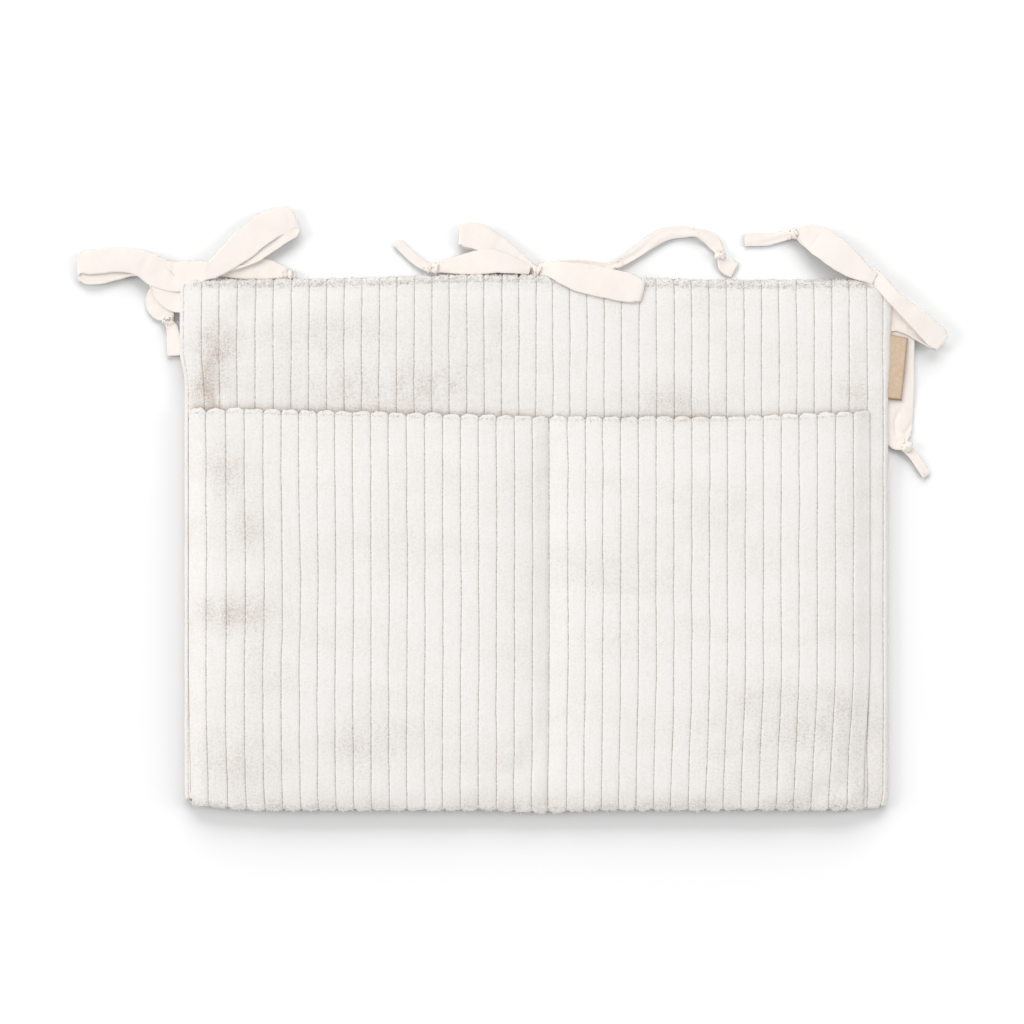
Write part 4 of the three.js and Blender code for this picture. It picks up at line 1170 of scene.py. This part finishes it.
TIES = {
    # Rows from the middle of the tie's own bow knot: x, y, height above the floor, width of the ribbon.
    "left_outer": {
        "bow": "left",
        "out": [[1, 0.5, 10.2, 13.6], [-6.8, 0, 10.4, 17], [-12.8, -1.2, 9.4, 20.5], [-19.6, -3.4, 8.4, 24],
                [-29.8, -4.7, 7.8, 25], [-39.2, -3.8, 7.4, 25], [-47.7, -0.4, 7, 24.6],
                [-58, 5.6, 6.8, 22.2], [-69, 9, 6.8, 21.3], [-81.8, 9.8, 6.6, 21], [-96.3, 8.6, 6.2, 21],
                [-112.5, 6.8, 5, 21]],
        "back": [[-112.5, -0.8, 2.6, 19], [-98.9, -1.2, 2.8, 19.6], [-84.4, 2.2, 3, 19.6],
                 [-69, 5.6, 3.4, 18.8], [-52, 2.5, 4.2, 19], [-43, -8, 4.4, 23], [-36, -19, 4.4, 25],
                 [-27, -22.5, 4, 25], [-16, -13, 4.4, 17], [-2.6, -1.4, 5, 8.5]],
        "tail": [[-6.8, -1.2, 3.4, 9.4], [-19, -6, 2.2, 16], [-30, -10.5, 2, 24], [-40, -17, 1.9, 25],
                 [-45, -24.5, 1.9, 25], [-43, -32, 2, 22], [-39, -38.5, 3.4, 13], [-38, -42.5, 4.2, 7.5],
                 [-34.5, -49, 2.8, 10], [-33.3, -59.2, 2.3, 12], [-32.3, -72, 2.2, 12.5]],
        "knot": (-37.8, -41.2, -58),
    },
    "left_inner": {
        "bow": "left",
        "out": [[-4.3, -0.4, 11.3, 13.6], [0, 0.5, 10.8, 14.5], [6, 4.5, 9.6, 17], [14, 11, 8.6, 20.5],
                [24.5, 20, 8.2, 24], [36, 29.7, 8, 25], [47.5, 38, 7.4, 25], [59.5, 43.6, 6.4, 24],
                [68, 45.4, 5.6, 22]],
        "back": [[70.5, 42.5, 4.2, 24], [62.5, 38.4, 4.9, 25], [51, 31, 5.8, 25], [39, 22.6, 6.4, 24.5],
                 [27.5, 14.6, 6.4, 21.5], [16, 8.2, 6, 16], [6, 3.8, 5.5, 11], [-0.8, 1.3, 5, 7.7]],
        "tail": [[0.9, -1.2, 5, 7.7], [7.7, 0, 4, 8.5], [21.3, 1.4, 2.4, 15], [34.9, 3, 2.2, 18],
                 [46.9, 2.2, 2.3, 17], [57.1, 0.2, 2.6, 12], [64, -1.5, 3.8, 6.8], [71, -3.4, 2.8, 6]],
        "knot": (64.5, -1.7, -15),
    },
    "centre_left": {
        "bow": "centre",
        "out": [[-4.3, 1.7, 6.6, 8.5], [-10.2, 5.6, 7, 11.5], [-20.5, 12.7, 6.8, 15.5],
                [-32.4, 20.4, 6.6, 18.5], [-44.3, 26.9, 6.4, 21], [-53.7, 30.6, 6, 22],
                [-62.6, 31.6, 5.5, 22]],
        "back": [[-62.2, 29.4, 2.1, 19.6], [-52.8, 28.2, 2.2, 20.5], [-40.9, 23.5, 2.4, 19.6],
                 [-27.3, 14.9, 2.8, 15.3], [-13.6, 6.4, 4, 9.4], [-5.1, 2.2, 5, 7.7]],
        "tail": [[-5.1, 1.3, 8, 8.5], [-11.1, 2.6, 9.2, 10.2], [-21.3, 5.1, 10.8, 14.5],
                 [-30.7, 7.3, 11, 18], [-40.1, 8.1, 10.4, 20], [-51.1, 7.3, 8, 19.6], [-62.2, 6, 5.2, 17],
                 [-72.4, 4.9, 3, 12.8], [-81, 3.9, 2.8, 9.4], [-88.2, 2.6, 3.6, 6.8],
                 [-95.5, 5.1, 2.6, 7.2], [-103.1, 10.3, 2.3, 8.5], [-111.2, 17.5, 2.2, 8.1],
                 [-119, 25.6, 2.2, 7.7]],
        "knot": (-87.8, 2.8, 165),
    },
    "centre_right": {
        "bow": "centre",
        "out": [[2.6, 0.9, 8, 9.4], [9.4, 1.7, 10.5, 12.4], [16.2, 0, 14, 15.3], [23.9, -2.5, 16.4, 19.2],
                [34.9, -5.9, 17.8, 23.4], [50.3, -9.3, 18.3, 25], [67.3, -12.8, 18.3, 25],
                [87.8, -17.4, 18, 23]],
        "back": [[87.8, -17.4, 14.6, 22], [67.3, -12.8, 14.6, 23.6], [51.1, -9.3, 14.6, 23],
                 [35.8, -4.7, 14.2, 18.8], [22.2, 0.5, 12.6, 12], [11.9, 2.6, 9, 8.5], [4.3, 2.6, 7, 7.7]],
        "tail": [[5.1, 2.6, 5, 7.7], [11.9, 3.9, 4, 7.7], [29, 5.6, 2.6, 9.4], [46, 4.7, 2.3, 9.4],
                 [60.5, 3.4, 2.3, 6.8], [73.3, 8.1, 2.3, 7.2], [88.6, 17.9, 2.3, 9],
                 [101.4, 26.9, 2.3, 10.2], [113.4, 32.8, 2.4, 10.7], [126.1, 34.1, 2.4, 9.8],
                 [137.2, 33.3, 3.6, 6.8], [145.7, 29.9, 2.8, 10.2], [153.4, 23.5, 2.4, 11],
                 [157.2, 16.7, 3.2, 7.2], [159, 10.7, 3.2, 7.7], [162.8, 5.6, 2.4, 14.5],
                 [170.5, 0.9, 2.2, 13.6]],
        "knot": (157.6, 14.5, -72),
    },
    "right_inner": {
        "bow": "right",
        "out": [[11.9, -7.2, 11.6, 10.2], [6, -4.2, 12.2, 12], [0, -0.4, 11.6, 16.6],
                [-9.4, 6.4, 10.4, 22.2], [-19.6, 14.1, 10, 25], [-30.7, 22.6, 9.4, 24.7],
                [-40.9, 29.4, 7.6, 22.2], [-49.4, 33.3, 5.8, 16.2]],
        "back": [[-49.4, 31.6, 2.6, 15.3], [-39.2, 26.5, 2.8, 18.8], [-26.4, 17.5, 3.4, 18.8],
                 [-12.8, 7.3, 4.4, 14.5], [-2.6, 0.5, 5, 9.4], [6, -3.8, 5, 7.7]],
        "tail": [[4.3, -3.8, 5, 7.7], [-2.6, -1.2, 3.6, 8.5], [-17.9, 12.4, 2.4, 12],
                 [-34.9, 26, 2.4, 12.8], [-46.9, 32, 2.8, 11], [-58, 32.4, 4, 8.5], [-67.3, 29.9, 2.6, 8.5],
                 [-78.4, 27.7, 2.2, 10.2], [-88.6, 27.5, 2.2, 10.7], [-98.4, 27.1, 2.2, 11]],
        "knot": (-58, 32, 190),
    },
    "right_outer": {
        "bow": "right",
        "out": [[4, -0.6, 9, 11], [11.9, -5.1, 10, 12], [19.6, -13.2, 12, 12], [27.3, -22.6, 13.4, 12],
                [35.8, -30.7, 12.8, 13.6], [45.2, -38.7, 11.8, 15.8], [57.1, -49.4, 10.4, 18.3],
                [69, -60.1, 9, 20.5]],
        "back": [[69, -60.1, 4.8, 19.6], [54.5, -50.7, 4.4, 20.5], [43.5, -43.9, 4.3, 21.7],
                 [33.2, -39.6, 4.3, 23], [24.2, -38.8, 4.3, 25]],
        "tail": None,
        "knot": None,
    },
}
RIGHT_TAIL = {
    # From the panel's side edge, 38 mm below the bow's middle. It comes out from under the panel's corner.
    "drop": 38.0,
    "rows": [[-10, 16, 1.4, 14], [-2, 13, 1.4, 16], [5, 8.5, 1.6, 18], [10, 3, 2, 21], [12.4, -4, 2.2, 23],
             [13, -21.2, 2.2, 22.5], [12.5, -46.8, 2.2, 23], [11.5, -72.3, 2.2, 24.5], [10.4, -90, 2.3, 25],
             [9.8, -99.5, 2.6, 25], [12, -107, 3, 20], [15.8, -111.5, 3.8, 9.5], [20, -116, 2.8, 7.5],
             [24.7, -120.9, 2.3, 8.1], [29.8, -128.6, 2.3, 8], [34.9, -137.1, 2.2, 6.8]],
    "knot": (17, -111.5, -62),
    # Creases where the tail buckles: corners in plan, depth, width
    "folds": (([[14.5, -80], [10.3, -83], [8, -88.5], [7.7, -94], [8.8, -102]], 1.6, 1.5),
              ([[24, -78], [24.4, -85], [21.6, -93], [16.4, -100]], 1.2, 1.4)),
}


def moved(stations, station):
    """Stations moved in plan from the origin to a place."""
    stations = stations.copy()
    stations[:, :2] += station[:2]
    return stations


class ORGANIZER_OT_ties(bpy.types.Operator):
    """Six ribbons: each a loop and a knotted tail, gathered where it enters its bow knot"""
    bl_idname = "organizer.ties"
    bl_label = "Ties"
    # How far before its hinge and past it a ribbon, and the loose tail, were to bend with the hinge.
    # Nothing here reads these.
    bend = (5, 10)
    tail_bend = (8, 9)

    def execute(self, context):
        for number, (body, tie) in enumerate(TIES.items()):
            station = STATIONS[tie["bow"]]
            seed = 100 + 10 * number
            loop = moved(loop_run(tie["out"], tie["back"]), station)
            parts = [ribbon(body, loop, seed)]
            if tie["tail"]:
                tail = moved(run(tie["tail"], 96, 1), station)
                parts.append(ribbon(body + "_tail", tail, seed + 3))
                x, y, heading = tie["knot"]
                parts.append(tail_knot(body + "_knot", station[0] + x, station[1] + y, heading, seed + 6))
            obj = join(body + "_ribbon", parts)
            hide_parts(body + "_tie")
            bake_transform(obj)
        self.right_tail()
        return {"FINISHED"}

    def right_tail(self):
        """The right outer ribbon's tail, which starts under the panel's corner."""
        station = np.array([FRONT_HIGH[0], STATIONS["right"][1] - RIGHT_TAIL["drop"], 0])
        folds = [(np.add(corners, station[:2]), depth, wide)
                 for corners, depth, wide in RIGHT_TAIL["folds"]]
        stations = moved(run(RIGHT_TAIL["rows"], 90, 1), station)
        tail = ribbon("right_outer_tail_ribbon", stations, 171, folds=folds)
        x, y, heading = RIGHT_TAIL["knot"]
        knot = tail_knot("right_tail_knot", station[0] + x, station[1] + y, heading, 174)
        obj = join("right_tail_ribbon", [tail, knot])
        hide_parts("right_outer_tail")
        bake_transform(obj)


class ORGANIZER_OT_bow_knots(bpy.types.Operator):
    """The three bow knots: a gathered turn of ribbon, and the end that is sewn into the top seam"""
    bl_idname = "organizer.bow_knots"
    bl_label = "Bow knots"
    # Half length and half height of each turn, and the width of its ribbon
    turns = {"left": (5.6, 2.4, 9.0), "centre": (3.8, 4.2, 6.4), "right": (5.0, 2.6, 8.0)}
    # Rows of the sewn end from the middle of its knot: x, y, height above the floor, width of the ribbon
    sewn_end = ([0, -4, 4.5, 9], [0, -6, 3.6, 11], [0, -9, 2.8, 14], [0, -13, 2.4, 15], [0, -16, 2.3, 15])

    def execute(self, context):
        for number, (side, station) in enumerate(STATIONS.items()):
            t = np.linspace(0, 1, 72)
            angle = math.radians(-110) + t * math.radians(430)
            grow = 1 + 0.1 * t
            tall, thick, wide = self.turns[side]
            at = np.stack([station[0] + 1.2 * np.sin(angle * 0.5 + number),
                           station[1] + tall * grow * np.cos(angle),
                           5.8 + thick * grow * np.sin(angle)], -1)
            at[:, 2] = np.maximum(at[:, 2], 0.9)
            across = unit(np.stack([np.ones_like(t), 0.22 * np.sin(angle), 0.12 * np.cos(angle)], -1))
            width = wide + 2.0 * np.sin(angle * 1.5 + number)
            wrap = ribbon(side + "_wrap", np.column_stack([at, across, width]), 181 + number, 1.2, 2.6)
            tab_stations = moved(run(self.sewn_end, 16, 1), station)
            tab = ribbon(side + "_tab", tab_stations, 185 + number, crease=0.4)
            obj = join(side + "_bow_knot", [wrap, tab])
            place(obj, "panel", "cotton_ribbon", side + "_knot")
        return {"FINISHED"}


class ORGANIZER_OT_side_label(bpy.types.Operator):
    """Bare tan tape folded double in the right side seam"""
    bl_idname = "organizer.side_label"
    bl_label = "Side label"
    # How much its fold leans down for its reach, and how narrow its foot is for its top
    lean = 0.22
    narrow = 0.7
    # The tape's thickness, the radius of its fold, and how high the lower layer lies above the ground
    thickness = 0.42
    radius = 0.42
    seat = 0.3
    steps = 8

    def execute(self, context):
        low, high = box_mm("side_label")
        height = high[1] - low[1]
        reach, radius, steps = size_mm("label_reach"), self.radius, self.steps
        deselect()
        bpy.ops.mesh.primitive_grid_add(x_subdivisions=steps, y_subdivisions=24, size=1, calc_uvs=False)
        obj = bpy.context.active_object
        obj.name = obj.data.name = "folded_label"
        obj.scale = ((reach - radius) * MM, height * MM, 1)
        obj.location = ((low[0] + (reach - radius) / 2) * MM, (low[1] + height / 2) * MM,
                        (low[2] + self.seat) * MM)
        bpy.ops.object.transform_apply(location=True, rotation=True, scale=True)
        fold_x = (low[0] + reach - radius) * MM
        bpy.ops.object.mode_set(mode="EDIT")
        bpy.ops.mesh.select_mode(type="EDGE")
        bpy.ops.mesh.select_all(action="DESELECT")
        bpy.ops.object.mode_set(mode="OBJECT")
        for edge in obj.data.edges:
            ends = [obj.data.vertices[i].co.x for i in edge.vertices]
            edge.select = bool(min(ends) > fold_x - 1e-6)
        bpy.ops.object.mode_set(mode="EDIT")
        centre_z = (low[2] + self.seat + radius) * MM
        bpy.ops.mesh.spin(steps=steps, angle=-math.pi, center=(fold_x, 0, centre_z), axis=(0, 1, 0))
        for _ in range(steps):
            bpy.ops.mesh.extrude_region_move(
                TRANSFORM_OT_translate={"value": (-(reach - radius) / steps * MM, 0, 0)})
        bpy.ops.object.mode_set(mode="OBJECT")
        self.shape(obj, low, height, reach)
        apply_modifier(obj, "SOLIDIFY", thickness=self.thickness * MM, offset=0.0)
        obj.data.materials.append(finish_named("tape"))
        obj.data.shade_smooth()
        place(obj, "label", "label_tape", "side_label")
        return {"FINISHED"}

    def shape(self, obj, low, height, reach):
        """Leans, tapers and bows the flap, and gives it its cloth coordinates and dark cut ends."""
        count = len(obj.data.vertices)
        co = np.empty(count * 3)
        obj.data.vertices.foreach_get("co", co)
        co = co.reshape(-1, 3) / MM
        out = np.clip((co[:, 0] - low[0]) / reach, 0, 1.05)
        down = 1 - (co[:, 1] - low[1]) / height
        upper = co[:, 2] > low[2] + 0.7
        flat = np.stack([np.where(upper, out, 2 - out) * reach, co[:, 1]], -1)
        co[:, 0] = low[0] + out * reach * (1 - (1 - self.narrow) * down)
        co[:, 1] -= self.lean * out * reach * (0.4 + 0.6 * (1 - down))
        co[:, 2] += 0.9 * out * np.sin(down * math.pi * 1.3) + 0.5 * out
        obj.data.vertices.foreach_set("co", (co * MM).ravel())
        corners = np.empty(len(obj.data.loops), np.int32)
        obj.data.loops.foreach_get("vertex_index", corners)
        layer = obj.data.uv_layers.new(name="cloth")
        layer.data.foreach_set("uv", (flat[corners] * MM).astype(np.float32).ravel())
        ends = bump(down, 1.0, 0.02) + 0.25 * bump(down, 0.0, 0.02) + 0.2 * bump(out, 0.0, 0.06)
        dark_ends = obj.data.attributes.new("cut_edge", "FLOAT", "POINT")
        dark_ends.data.foreach_set("value", ends.astype(np.float32))


class ORGANIZER_OT_tufts(bpy.types.Operator):
    """Loose tufts of pile along the top edge, the pocket's mouth and the foot"""
    bl_idname = "organizer.tufts"
    bl_label = "Pile tufts"
    # Area of cloth to each tuft, in square mm
    patch = 1.7
    # Radius of a tuft's root and of its tip, and how far it bends over, as shares of its length
    root, tip, droop = 0.24, 0.07, 0.3

    def model_tuft(self):
        """One tuft: a short, soft-tipped lock of pile."""
        sizes = bpy.context.scene.organizer_sizes
        deselect()
        bpy.ops.mesh.primitive_cone_add(vertices=5, radius1=sizes.tuft * self.root,
                                        radius2=sizes.tuft * self.tip, depth=sizes.tuft,
                                        location=(0, 0, sizes.tuft * 0.3), end_fill_type="TRIFAN")
        obj = bpy.context.active_object
        bpy.ops.object.transform_apply(location=True, rotation=True, scale=True)
        bpy.ops.object.mode_set(mode="EDIT")
        bpy.ops.mesh.select_all(action="SELECT")
        bpy.ops.mesh.bisect(plane_co=(0, 0, sizes.tuft * 0.3), plane_no=(0, 0, 1))
        bpy.ops.object.mode_set(mode="OBJECT")
        co = np.array([v.co for v in obj.data.vertices]) / MM
        co[:, 0] += self.droop * co[:, 2] ** 2 / (sizes.tuft / MM)
        faces = [list(p.vertices) for p in obj.data.polygons]
        bpy.data.objects.remove(obj)
        return co, faces

    def roots(self, surface, first, last, low, high, seed):
        """Places on a surface between two wales and two distances, and which way a tuft leans there."""
        random = np.random.RandomState(seed)
        count = round((last - first) * FRONT_PITCH * abs(high - low) / self.patch)
        wale, along = random.uniform(first, last, count), random.uniform(low, high, count)
        at = surface(wale, along)
        right, up = surface(wale + 0.01, along), surface(wale, along + 0.1)
        outward = unit(np.cross(right - at, up - at))
        lean = unit(outward + random.normal(0, 0.55, at.shape))
        return at, lean, random

    def execute(self, context):
        co, faces = self.model_tuft()
        pocket = ORGANIZER_OT_pocket_panel
        bands = (
            # surface, first and last wale, lowest and highest distance, darkest lie of the pile, size, seed
            (front_surface, 0.5, FRONT_WALES - 0.5, HALF_HEIGHT - 8, HALF_HEIGHT - 0.5, 0.22, 1.0, 91),
            (pocket.surface, 0.1, POCKET_WALES - 0.1, pocket.total - 5, pocket.total - 1.4, 0.12, 0.75, 92),
            (pocket.surface, 0.1, POCKET_WALES - 0.1, 1.0, 7.0, 0.2, 0.9, 93),
        )
        points, nap = [], []
        for surface, first, last, low, high, darkest, scale, seed in bands:
            at, lean, random = self.roots(surface, first, last, low, high, seed)
            side = unit(np.cross(lean, random.normal(0, 1, at.shape)))
            axes = np.stack([side, np.cross(lean, side), lean], 1)
            size = scale * random.uniform(0.6, 1.25, (len(at), 1, 1))
            points.append(at[:, None] + np.einsum("vk,nkd->nvd", co, axes) * size)
            nap.append(np.repeat(random.uniform(-0.15, darkest, len(at)), len(co)))
        points = np.vstack(points).reshape(-1, 3)
        number = len(points) // len(co)
        all_faces = [[i + n * len(co) for i in face] for n in range(number) for face in faces]
        uv = np.full((len(points), 2), 0.5)
        obj = cloth_object("pile_tufts", points, all_faces, [finish_named("corduroy")], uv,
                           {"nap": np.concatenate(nap), "ruffle": np.full(len(points), 0.2)})
        place(obj, "panel", "corduroy")
        return {"FINISHED"}


class ORGANIZER_OT_stitching(bpy.types.Operator):
    """Lockstitches along the top edge, the hem, the divider and the pocket's sides"""
    bl_idname = "organizer.stitching"
    bl_label = "Stitching"
    # How much of its step a stitch covers, where it bends, and how far its ends dip
    cover = 0.86
    bends = (-0.3, -0.12, 0.12, 0.3)
    dip = 0.35

    def model_stitch(self):
        """One stitch: a short thread whose ends dip into the cloth."""
        sizes = bpy.context.scene.organizer_sizes
        deselect()
        bpy.ops.mesh.primitive_cylinder_add(vertices=6, radius=sizes.thread / 2,
                                            depth=sizes.stitch_length * self.cover, end_fill_type="TRIFAN",
                                            rotation=(0, math.pi / 2, 0))
        obj = bpy.context.active_object
        bpy.ops.object.transform_apply(location=True, rotation=True, scale=True)
        bpy.ops.object.mode_set(mode="EDIT")
        for place_x in self.bends:
            bpy.ops.mesh.select_all(action="SELECT")
            bpy.ops.mesh.bisect(plane_co=(place_x * sizes.stitch_length, 0, 0), plane_no=(1, 0, 0))
        bpy.ops.object.mode_set(mode="OBJECT")
        co = np.array([v.co for v in obj.data.vertices]) / MM
        half_length = self.cover / 2 * sizes.stitch_length / MM
        co[:, 2] -= self.dip * (np.abs(co[:, 0]) / half_length) ** 2.5
        faces = [list(p.vertices) for p in obj.data.polygons]
        bpy.data.objects.remove(obj)
        return co, faces

    def seam(self, name, path, co, faces):
        """Copies of the stitch end to end along a path of points, as one mesh."""
        step = size_mm("stitch_length")
        travelled = np.concatenate([[0], np.cumsum(np.linalg.norm(np.diff(path, axis=0), axis=1))])
        marks = np.arange(step / 2, travelled[-1], step)
        at = np.stack([np.interp(marks, travelled, path[:, k]) for k in range(3)], -1)
        ahead = np.stack([np.interp(marks + 0.5, travelled, path[:, k]) for k in range(3)], -1)
        along = unit(ahead - at + 1e-9)
        side = unit(np.cross([0, 0, 1.0], along))
        up = np.cross(along, side)
        wobble = np.random.RandomState(len(marks)).uniform(-0.12, 0.12, (len(marks), 1))
        at = at + side * wobble
        axes = np.stack([along, side, up], 1)
        points = at[:, None] + np.einsum("vk,nkd->nvd", co, axes)
        all_faces = [[i + n * len(co) for i in face] for n in range(len(marks)) for face in faces]
        return cloth_object(name, points.reshape(-1, 3), all_faces, [finish_named("thread")])

    def execute(self, context):
        co, faces = self.model_stitch()
        along = np.linspace(0, 1, 400)
        stitch_y = HALF_HEIGHT - TOP_STITCH
        x = -HALF_WIDTH + 6 + along * (2 * HALF_WIDTH - 12)
        lines = {"top": np.stack([x, stitch_y + 0 * x, crown(x, stitch_y) - 1.25], -1)}
        left, right = POCKET_SIDES
        x = left + 3 + along * (right - left - 6)
        y = mouth_line(x) - size_mm("hem_depth")
        lines["hem"] = np.stack([x, y, pocket_levels(x, y)[1] - 0.75], -1)
        for name, wale, sunk in (("divider", DIVIDER_RIB + 1.0, 3.6), ("right", POCKET_WALES - 0.22, 1.0),
                                 ("left", 0.2, 1.0)):
            y = -HALF_HEIGHT + 6 + along * (mouth_line(0.0) + HALF_HEIGHT - 8)
            x = pocket_wale_x(np.full_like(y, wale), y)
            lines[name] = np.stack([x + pocket_lean(x, y), y, pocket_levels(x, y)[1] - sunk], -1)
        seams = [self.seam(name + "_stitches", shaped(path), co, faces) for name, path in lines.items()]
        obj = join("lockstitches", seams)
        place(obj, "panel", "cotton_ribbon")
        return {"FINISHED"}


class ORGANIZER_OT_stage(bpy.types.Operator):
    """White floor, soft studio light and the camera straight above"""
    bl_idname = "organizer.stage"
    bl_label = "Stage"
    # Middle and width of the picture, on the plane of the panel's crown
    photo_centre = (-20.5, 27.7)
    frame_width = 872.8
    lens = 85.0
    sensor = 36.0
    # Brightness of the air as a light. The camera sees it white.
    air = 0.70
    floor_size = 8.0
    floor_level = -0.0002
    # Place, size and power of each lamp
    window = ((-5.0, 4.8, 9.6), (8.0, 8.0), 592.0)
    paper_lamps = {
        "paper_top": ((0, 0, 12.0), (6.0, 6.0), 300.0),
        "paper_back": ((0, 8.7, 4.3), (12.0, 5.8), 2250.0),
        "paper_left": ((-8.8, 1.0, 3.8), (4.0, 5.2), 1040.0),
        "paper_right": ((8.8, 1.0, 3.8), (4.0, 5.2), 930.0),
    }

    def area_light(self, name, location, size, power):
        """A rectangular lamp that points at the origin."""
        deselect()
        bpy.ops.object.light_add(type="AREA", location=location)
        light = bpy.context.active_object
        light.name = name
        light.data.shape = "RECTANGLE"
        light.data.size, light.data.size_y = size
        light.data.energy = power
        direction = 0.0 - np.array(location)
        light.rotation_mode = "XYZ"
        light.rotation_euler = (math.atan2(math.hypot(direction[0], direction[1]), -direction[2]), 0,
                                math.atan2(-direction[0], direction[1]))
        return light

    def floor_material(self):
        """Matt paper, which keeps soft shadows. It is whiter further out, where its lamps reach it less."""
        material, tree, shader = new_material("matt_paper_sweep", 1.0)
        place_on = add_node(tree, "ShaderNodeTexCoord").outputs["Object"]
        out = add_node(tree, "ShaderNodeVectorMath", {"operation": "LENGTH"},
                       {0: place_on}).outputs["Value"]
        far = add_node(tree, "ShaderNodeMapRange", inputs={
            "Value": out, "From Min": 0.8, "From Max": 2.4}).outputs["Result"]
        tints = bpy.context.scene.organizer_colours
        mixed = add_node(tree, "ShaderNodeMix", {"data_type": "RGBA"},
                         {0: far, 6: tints.floor, 7: tints.floor_far}).outputs[2]
        tree.links.new(mixed, shader.inputs["Base Color"])
        shader.inputs["Specular IOR Level"].default_value = 0.0
        return material

    def execute(self, context):
        scene = bpy.context.scene
        deselect()
        bpy.ops.mesh.primitive_plane_add(size=self.floor_size, location=(0, 0, self.floor_level))
        floor = bpy.context.active_object
        floor.name = floor.data.name = "studio_floor"
        floor.data.materials.append(self.floor_material())
        world = bpy.data.worlds.new("studio_air")
        world.use_nodes = True
        air = world.node_tree.nodes["Background"]
        air.inputs["Color"].default_value = (1, 1, 1, 1)
        seen = add_node(world.node_tree, "ShaderNodeLightPath").outputs["Is Camera Ray"]
        strength = add_node(world.node_tree, "ShaderNodeMapRange", inputs={
            "Value": seen, "To Min": self.air, "To Max": 1.0}).outputs["Result"]
        world.node_tree.links.new(strength, air.inputs["Strength"])
        scene.world = world
        window = self.area_light("window_left", *self.window)
        # The paper has its own lamps, which reach nothing else. The low ones draw the soft shadow in front
        # of the object and beside it.
        paper = bpy.data.collections.new("studio_paper")
        paper.objects.link(floor)
        for name, lamp_values in self.paper_lamps.items():
            lamp = self.area_light(name, *lamp_values)
            lamp.visible_camera = False
            lamp.light_linking.receiver_collection = paper
        not_paper = bpy.data.collections.new("all_but_paper")
        not_paper.objects.link(floor)
        not_paper.collection_objects[0].light_linking.link_state = "EXCLUDE"
        window.light_linking.receiver_collection = not_paper
        scene.view_settings.view_transform = "Standard"
        camera = bpy.data.cameras.new("camera")
        camera.lens, camera.sensor_width = self.lens, self.sensor
        eye = bpy.data.objects.new("camera", camera)
        scene.collection.objects.link(eye)
        distance = self.frame_width * self.lens / self.sensor
        eye.location = (self.photo_centre[0] * MM, self.photo_centre[1] * MM, (distance + CROWN) * MM)
        scene.camera = eye
        return {"FINISHED"}


class ORGANIZER_PT_build(bpy.types.Panel):
    """Lists the steps that build the organizer"""
    bl_idname = "ORGANIZER_PT_build"
    bl_label = "Organizer"
    bl_space_type = "VIEW_3D"
    bl_region_type = "UI"
    bl_category = "Organizer"

    def draw(self, context):
        column = self.layout.column()
        for operator in OPERATORS:
            column.operator(operator.bl_idname)
        for group in (context.scene.organizer_sizes, context.scene.organizer_colours):
            for name in group.__annotations__:
                column.prop(group, name)


OPERATORS = (
    ORGANIZER_OT_stage,
    ORGANIZER_OT_simulation,
    ORGANIZER_OT_wadding,
    ORGANIZER_OT_back_lining,
    ORGANIZER_OT_front_panel,
    ORGANIZER_OT_pocket_panel,
    ORGANIZER_OT_tufts,
    ORGANIZER_OT_stitching,
    ORGANIZER_OT_bow_knots,
    ORGANIZER_OT_ties,
    ORGANIZER_OT_side_label,
)
CLASSES = (OrganizerColours, OrganizerSizes, *OPERATORS, ORGANIZER_PT_build)


def register():
    for item in CLASSES:
        bpy.utils.register_class(item)
    bpy.types.Scene.organizer_colours = PointerProperty(type=OrganizerColours)
    bpy.types.Scene.organizer_sizes = PointerProperty(type=OrganizerSizes)


def unregister():
    del bpy.types.Scene.organizer_sizes
    del bpy.types.Scene.organizer_colours
    for item in reversed(CLASSES):
        bpy.utils.unregister_class(item)


def main():
    register()
    for operator in OPERATORS:
        group, name = operator.bl_idname.split(".")
        getattr(getattr(bpy.ops, group), name)()


if __name__ == "__main__":
    main()
